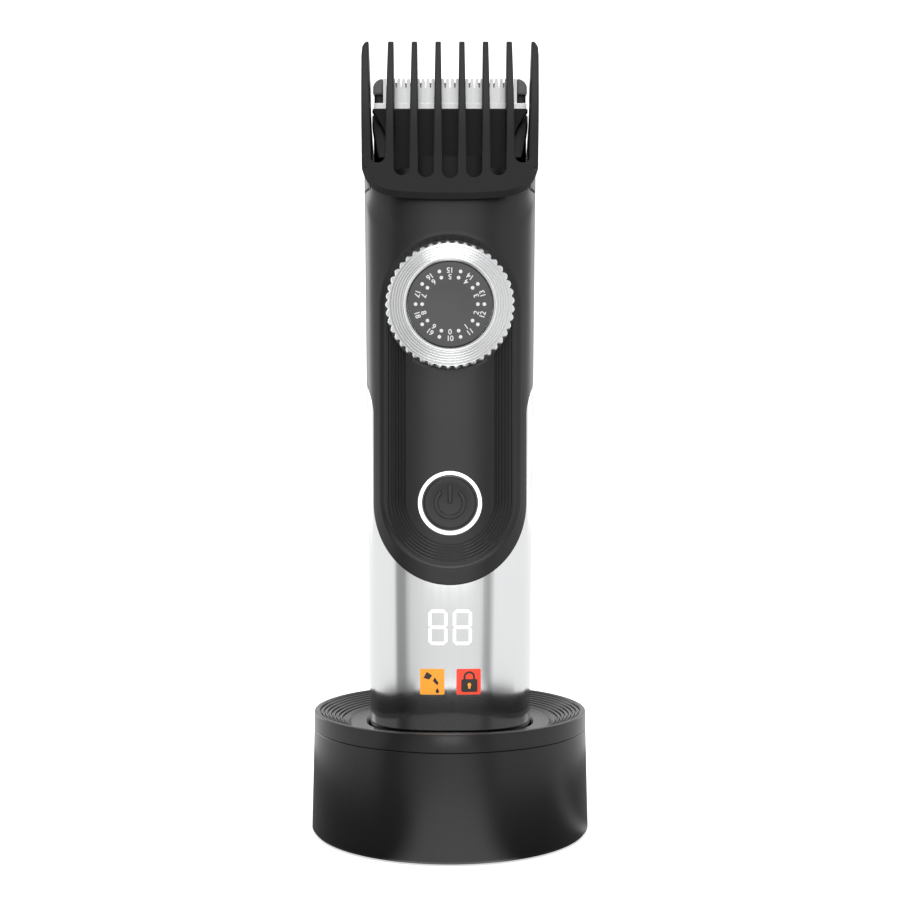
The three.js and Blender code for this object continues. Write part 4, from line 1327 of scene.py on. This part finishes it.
def comb_guard():
    frame = comb_frame()
    for index in range(COMB_TEETH - 1):
        step = index - (COMB_TEETH - 2) / 2
        x, bottom = step * COMB_PITCH, SLOT_BOTTOMS[round(abs(step))]
        half = COMB_SLOT / 2
        outline = [(x + half, SLOT_TOP_Z), (x - half, SLOT_TOP_Z)]
        outline += arc(x, bottom + half, half, 180, 360, 16)
        cut(frame, front_outline("comb_slot", outline, -25 * MM, -7 * MM))
    apply_modifier(frame, "BEVEL", width=0.16 * MM, segments=2, limit_method="ANGLE",
                   angle_limit=math.radians(50), use_clamp_overlap=False)
    place_crisp(frame, "comb", "comb_plastic", COMB_PLASTIC, "comb_guard", angle=40)

    teeth = []
    for index in range(1, COMB_TEETH - 1):
        x = (index - (COMB_TEETH - 1) / 2) * COMB_PITCH
        teeth.append(comb_tooth("comb_tooth", x, 2.04 * MM, 1.32 * MM))
    teeth += [outer_tooth(-1), outer_tooth(1)]
    comb = gather("comb_teeth", teeth)
    place_crisp(comb, "comb", "comb_plastic", COMB_PLASTIC, angle=40)

    clip = brick_mm("comb_clip", (-7.6, -14.6, 155.6), (7.6, -10.3, 160.8))
    for x in (-COMB_PITCH / 2, COMB_PITCH / 2):
        unite(clip, brick("clip_rib", (x - 0.9 * MM, -17.6 * MM, 156 * MM),
                          (x + 0.9 * MM, -14 * MM, 160.4 * MM)))
    soften(clip, 0.25 * MM, 2)
    cut(clip, brick_mm("clip_slot", (-5.3, -13.5, 154), (5.3, -11.3, 160.2)))
    place_smooth(clip, "comb", "comb_plastic", HEAD_PLASTIC)


head_cover()
head_base()
blade_clamp()
blades()
end_guards()
comb_guard()

# ---------- finishes for the CAD nodes that show as they are ----------

CAD_FINISHES = {
    "black_plastic": BLACK_PLASTIC,
    "comb_plastic": COMB_PLASTIC,
    "silver_shell": SILVER_SHELL,
    "dial_silver": DIAL_SILVER,
    "dial_face": DIAL_FACE,
    "blade_steel": BLADE_STEEL,
    "grey_plastic": GREY_PLASTIC,
    "rubber": RUBBER,
    "circuit_board": BOARD_GREEN,
    "contact_gold": CONTACT_GOLD,
    "plain_steel": PLAIN_STEEL,
    "light_ring": RING_LIGHT,
    "amber_lens": AMBER_LIGHT,
    "red_lens": RED_LIGHT,
    "battery_wrap": CELL_BLUE,
    "natural_plastic": NATURAL_PLASTIC,
}

for entry in frame["record"]["subparts"]:
    finish = CAD_FINISHES[entry["material_slot"]]
    for material_slot in frame["nodes"][entry["node"]].material_slots:
        material_slot.material = finish

# ---------- studio ----------

CAMERA_DISTANCE = 341.4 * MM
CAMERA_HEIGHT = 92 * MM
SENSOR_WIDTH = 36
VIEW_PER_DISTANCE = 0.6447  # how wide the picture is at a distance of 1
FLOOR_BRIGHTNESS = 0.6
CARD_CHANGE = (0.104, 0.112)  # how far out the near cards give way to the far ones, in metres
CARDS_AROUND = (
    (-180, 0.95), (-56, 0.95), (-50, 0.28), (-37, 0.28), (-30, 0.72), (0, 0.84), (19, 0.84),
    (24, 0.35), (30, 0.35), (35, 0.95), (180, 0.95),
)
CARDS_BY_THE_DOCK = (
    (-180, 0.12), (-28, 0.1), (-16, 1.5), (18, 1.6), (30, 0.1), (76, 0.1), (84, 0.7), (96, 0.12), (180, 0.12),
)


def seen_directly(tree):
    return add_node(tree, "ShaderNodeLightPath").outputs["Is Camera Ray"]


def cards(tree, vector, levels):
    """Brightness by bearing about the object, in degrees from the front towards the right."""
    parts = add_node(tree, "ShaderNodeSeparateXYZ")
    tree.links.new(vector, parts.inputs[0])
    bearing = maths(tree, "ARCTAN2", parts.outputs["X"], maths(tree, "MULTIPLY", parts.outputs["Y"], -1.0))
    position = maths(tree, "ADD", maths(tree, "DIVIDE", bearing, FULL_TURN), 0.5)
    ramp = add_node(tree, "ShaderNodeValToRGB")
    stops = ramp.color_ramp.elements
    while len(stops) < len(levels):
        stops.new(0.5)
    for stop, (degrees, level) in zip(stops, levels):
        stop.position = degrees / 360 + 0.5
        stop.color = (level, level, level, 1)
    tree.links.new(position, ramp.inputs["Fac"])
    return ramp.outputs["Color"]


def unseen_or(tree, unseen, seen):
    """One brightness for reflections and another for what the camera sees."""
    direct = seen_directly(tree)
    return maths(tree, "ADD", maths(tree, "MULTIPLY", unseen, maths(tree, "SUBTRACT", 1.0, direct)),
                 maths(tree, "MULTIPLY", direct, seen))


def studio_floor():
    """A pale floor that curves up into a wall behind the dock."""
    half_across, bend_y, bend = 3, 0.9, 0.5
    points = [(-2.0, 0)] + arc(bend_y, bend, bend, -90, 0, 9) + [(bend_y + bend, 2.6)]
    floor = drawn_line("studio_floor", [Vector((-half_across, y, z)) for y, z in points])
    edit(floor)
    bpy.ops.mesh.extrude_region_move(TRANSFORM_OT_translate={"value": (2 * half_across, 0, 0)})
    leave_edit()
    smooth(floor, 60)
    material, tree, shader = blank_material("pale_floor")
    shader.inputs["Roughness"].default_value = 0.8
    shader.inputs["Emission Color"].default_value = (1, 1, 1, 1)
    place = add_node(tree, "ShaderNodeTexCoord").outputs["Object"]
    distance = add_node(tree, "ShaderNodeVectorMath", operation="LENGTH")
    tree.links.new(place, distance.inputs[0])

    def between(start, end):
        share = add_node(tree, "ShaderNodeMapRange")
        share.inputs["From Min"].default_value = start
        share.inputs["From Max"].default_value = end
        tree.links.new(distance.outputs["Value"], share.inputs["Value"])
        return share.outputs["Result"]

    far = maths(tree, "MULTIPLY", cards(tree, place, CARDS_AROUND), between(*CARD_CHANGE))
    near = maths(tree, "MULTIPLY", cards(tree, place, CARDS_BY_THE_DOCK), between(*CARD_CHANGE[::-1]))
    cards_level = maths(tree, "ADD", far, near)
    tree.links.new(unseen_or(tree, cards_level, FLOOR_BRIGHTNESS), shader.inputs["Emission Strength"])
    tone = add_node(tree, "ShaderNodeMix", data_type="RGBA")
    tone.inputs["A"].default_value = (0.02, 0.02, 0.02, 1)
    tone.inputs["B"].default_value = (0.93, 0.93, 0.93, 1)
    tree.links.new(seen_directly(tree), tone.inputs["Factor"])
    tree.links.new(tone.outputs["Result"], shader.inputs["Base Color"])
    floor.data.materials.append(material)


def stand(name, data, place, rotation):
    """Stands a light or camera at a place."""
    holder = bpy.data.objects.new(name, data)
    holder.location = place
    holder.rotation_euler = rotation
    bpy.context.scene.collection.objects.link(holder)
    return holder


def soft_box(name, place, target, width, height, watts):
    light = bpy.data.lights.new(name, "AREA")
    light.shape = "RECTANGLE"
    light.size = width
    light.size_y = height
    light.energy = watts
    stand(name, light, place, (Vector(target) - Vector(place)).to_track_quat("-Z", "Y").to_euler())


def studio_sky():
    """Soft light all round the object, with a white backdrop behind it."""
    world = bpy.data.worlds.new("studio_sky")
    world.use_nodes = True
    tree = world.node_tree
    background = tree.nodes["Background"]
    background.inputs["Color"].default_value = (1, 1, 1, 1)
    direction = add_node(tree, "ShaderNodeTexCoord").outputs["Generated"]
    tree.links.new(unseen_or(tree, cards(tree, direction, CARDS_AROUND), 1.0), background.inputs["Strength"])
    bpy.context.scene.world = world


def studio_camera():
    camera = bpy.data.cameras.new("studio_camera")
    camera.sensor_width = SENSOR_WIDTH
    camera.lens = SENSOR_WIDTH / VIEW_PER_DISTANCE
    camera.clip_start = 0.01
    place = (0, -CAMERA_DISTANCE, CAMERA_HEIGHT)
    bpy.context.scene.camera = stand("studio_camera", camera, place, (math.pi / 2, 0, 0))


studio_floor()
studio_sky()
soft_box("front_box", (0.0, -1.3, 0.12), (0, 0, 0.03), 0.5, 0.4, 1.5)
soft_box("upper_box", (0.0, -0.75, 1.05), (0, 0, 0.1), 0.6, 0.3, 3.2)
soft_box("left_strip", (-0.5, 0.6, 0.2), (0, 0, 0.11), 0.3, 0.8, 1.3)
soft_box("right_strip", (0.5, 0.6, 0.2), (0, 0, 0.11), 0.3, 0.8, 0.6)
studio_camera()
bpy.context.scene.view_settings.view_transform = "Standard"
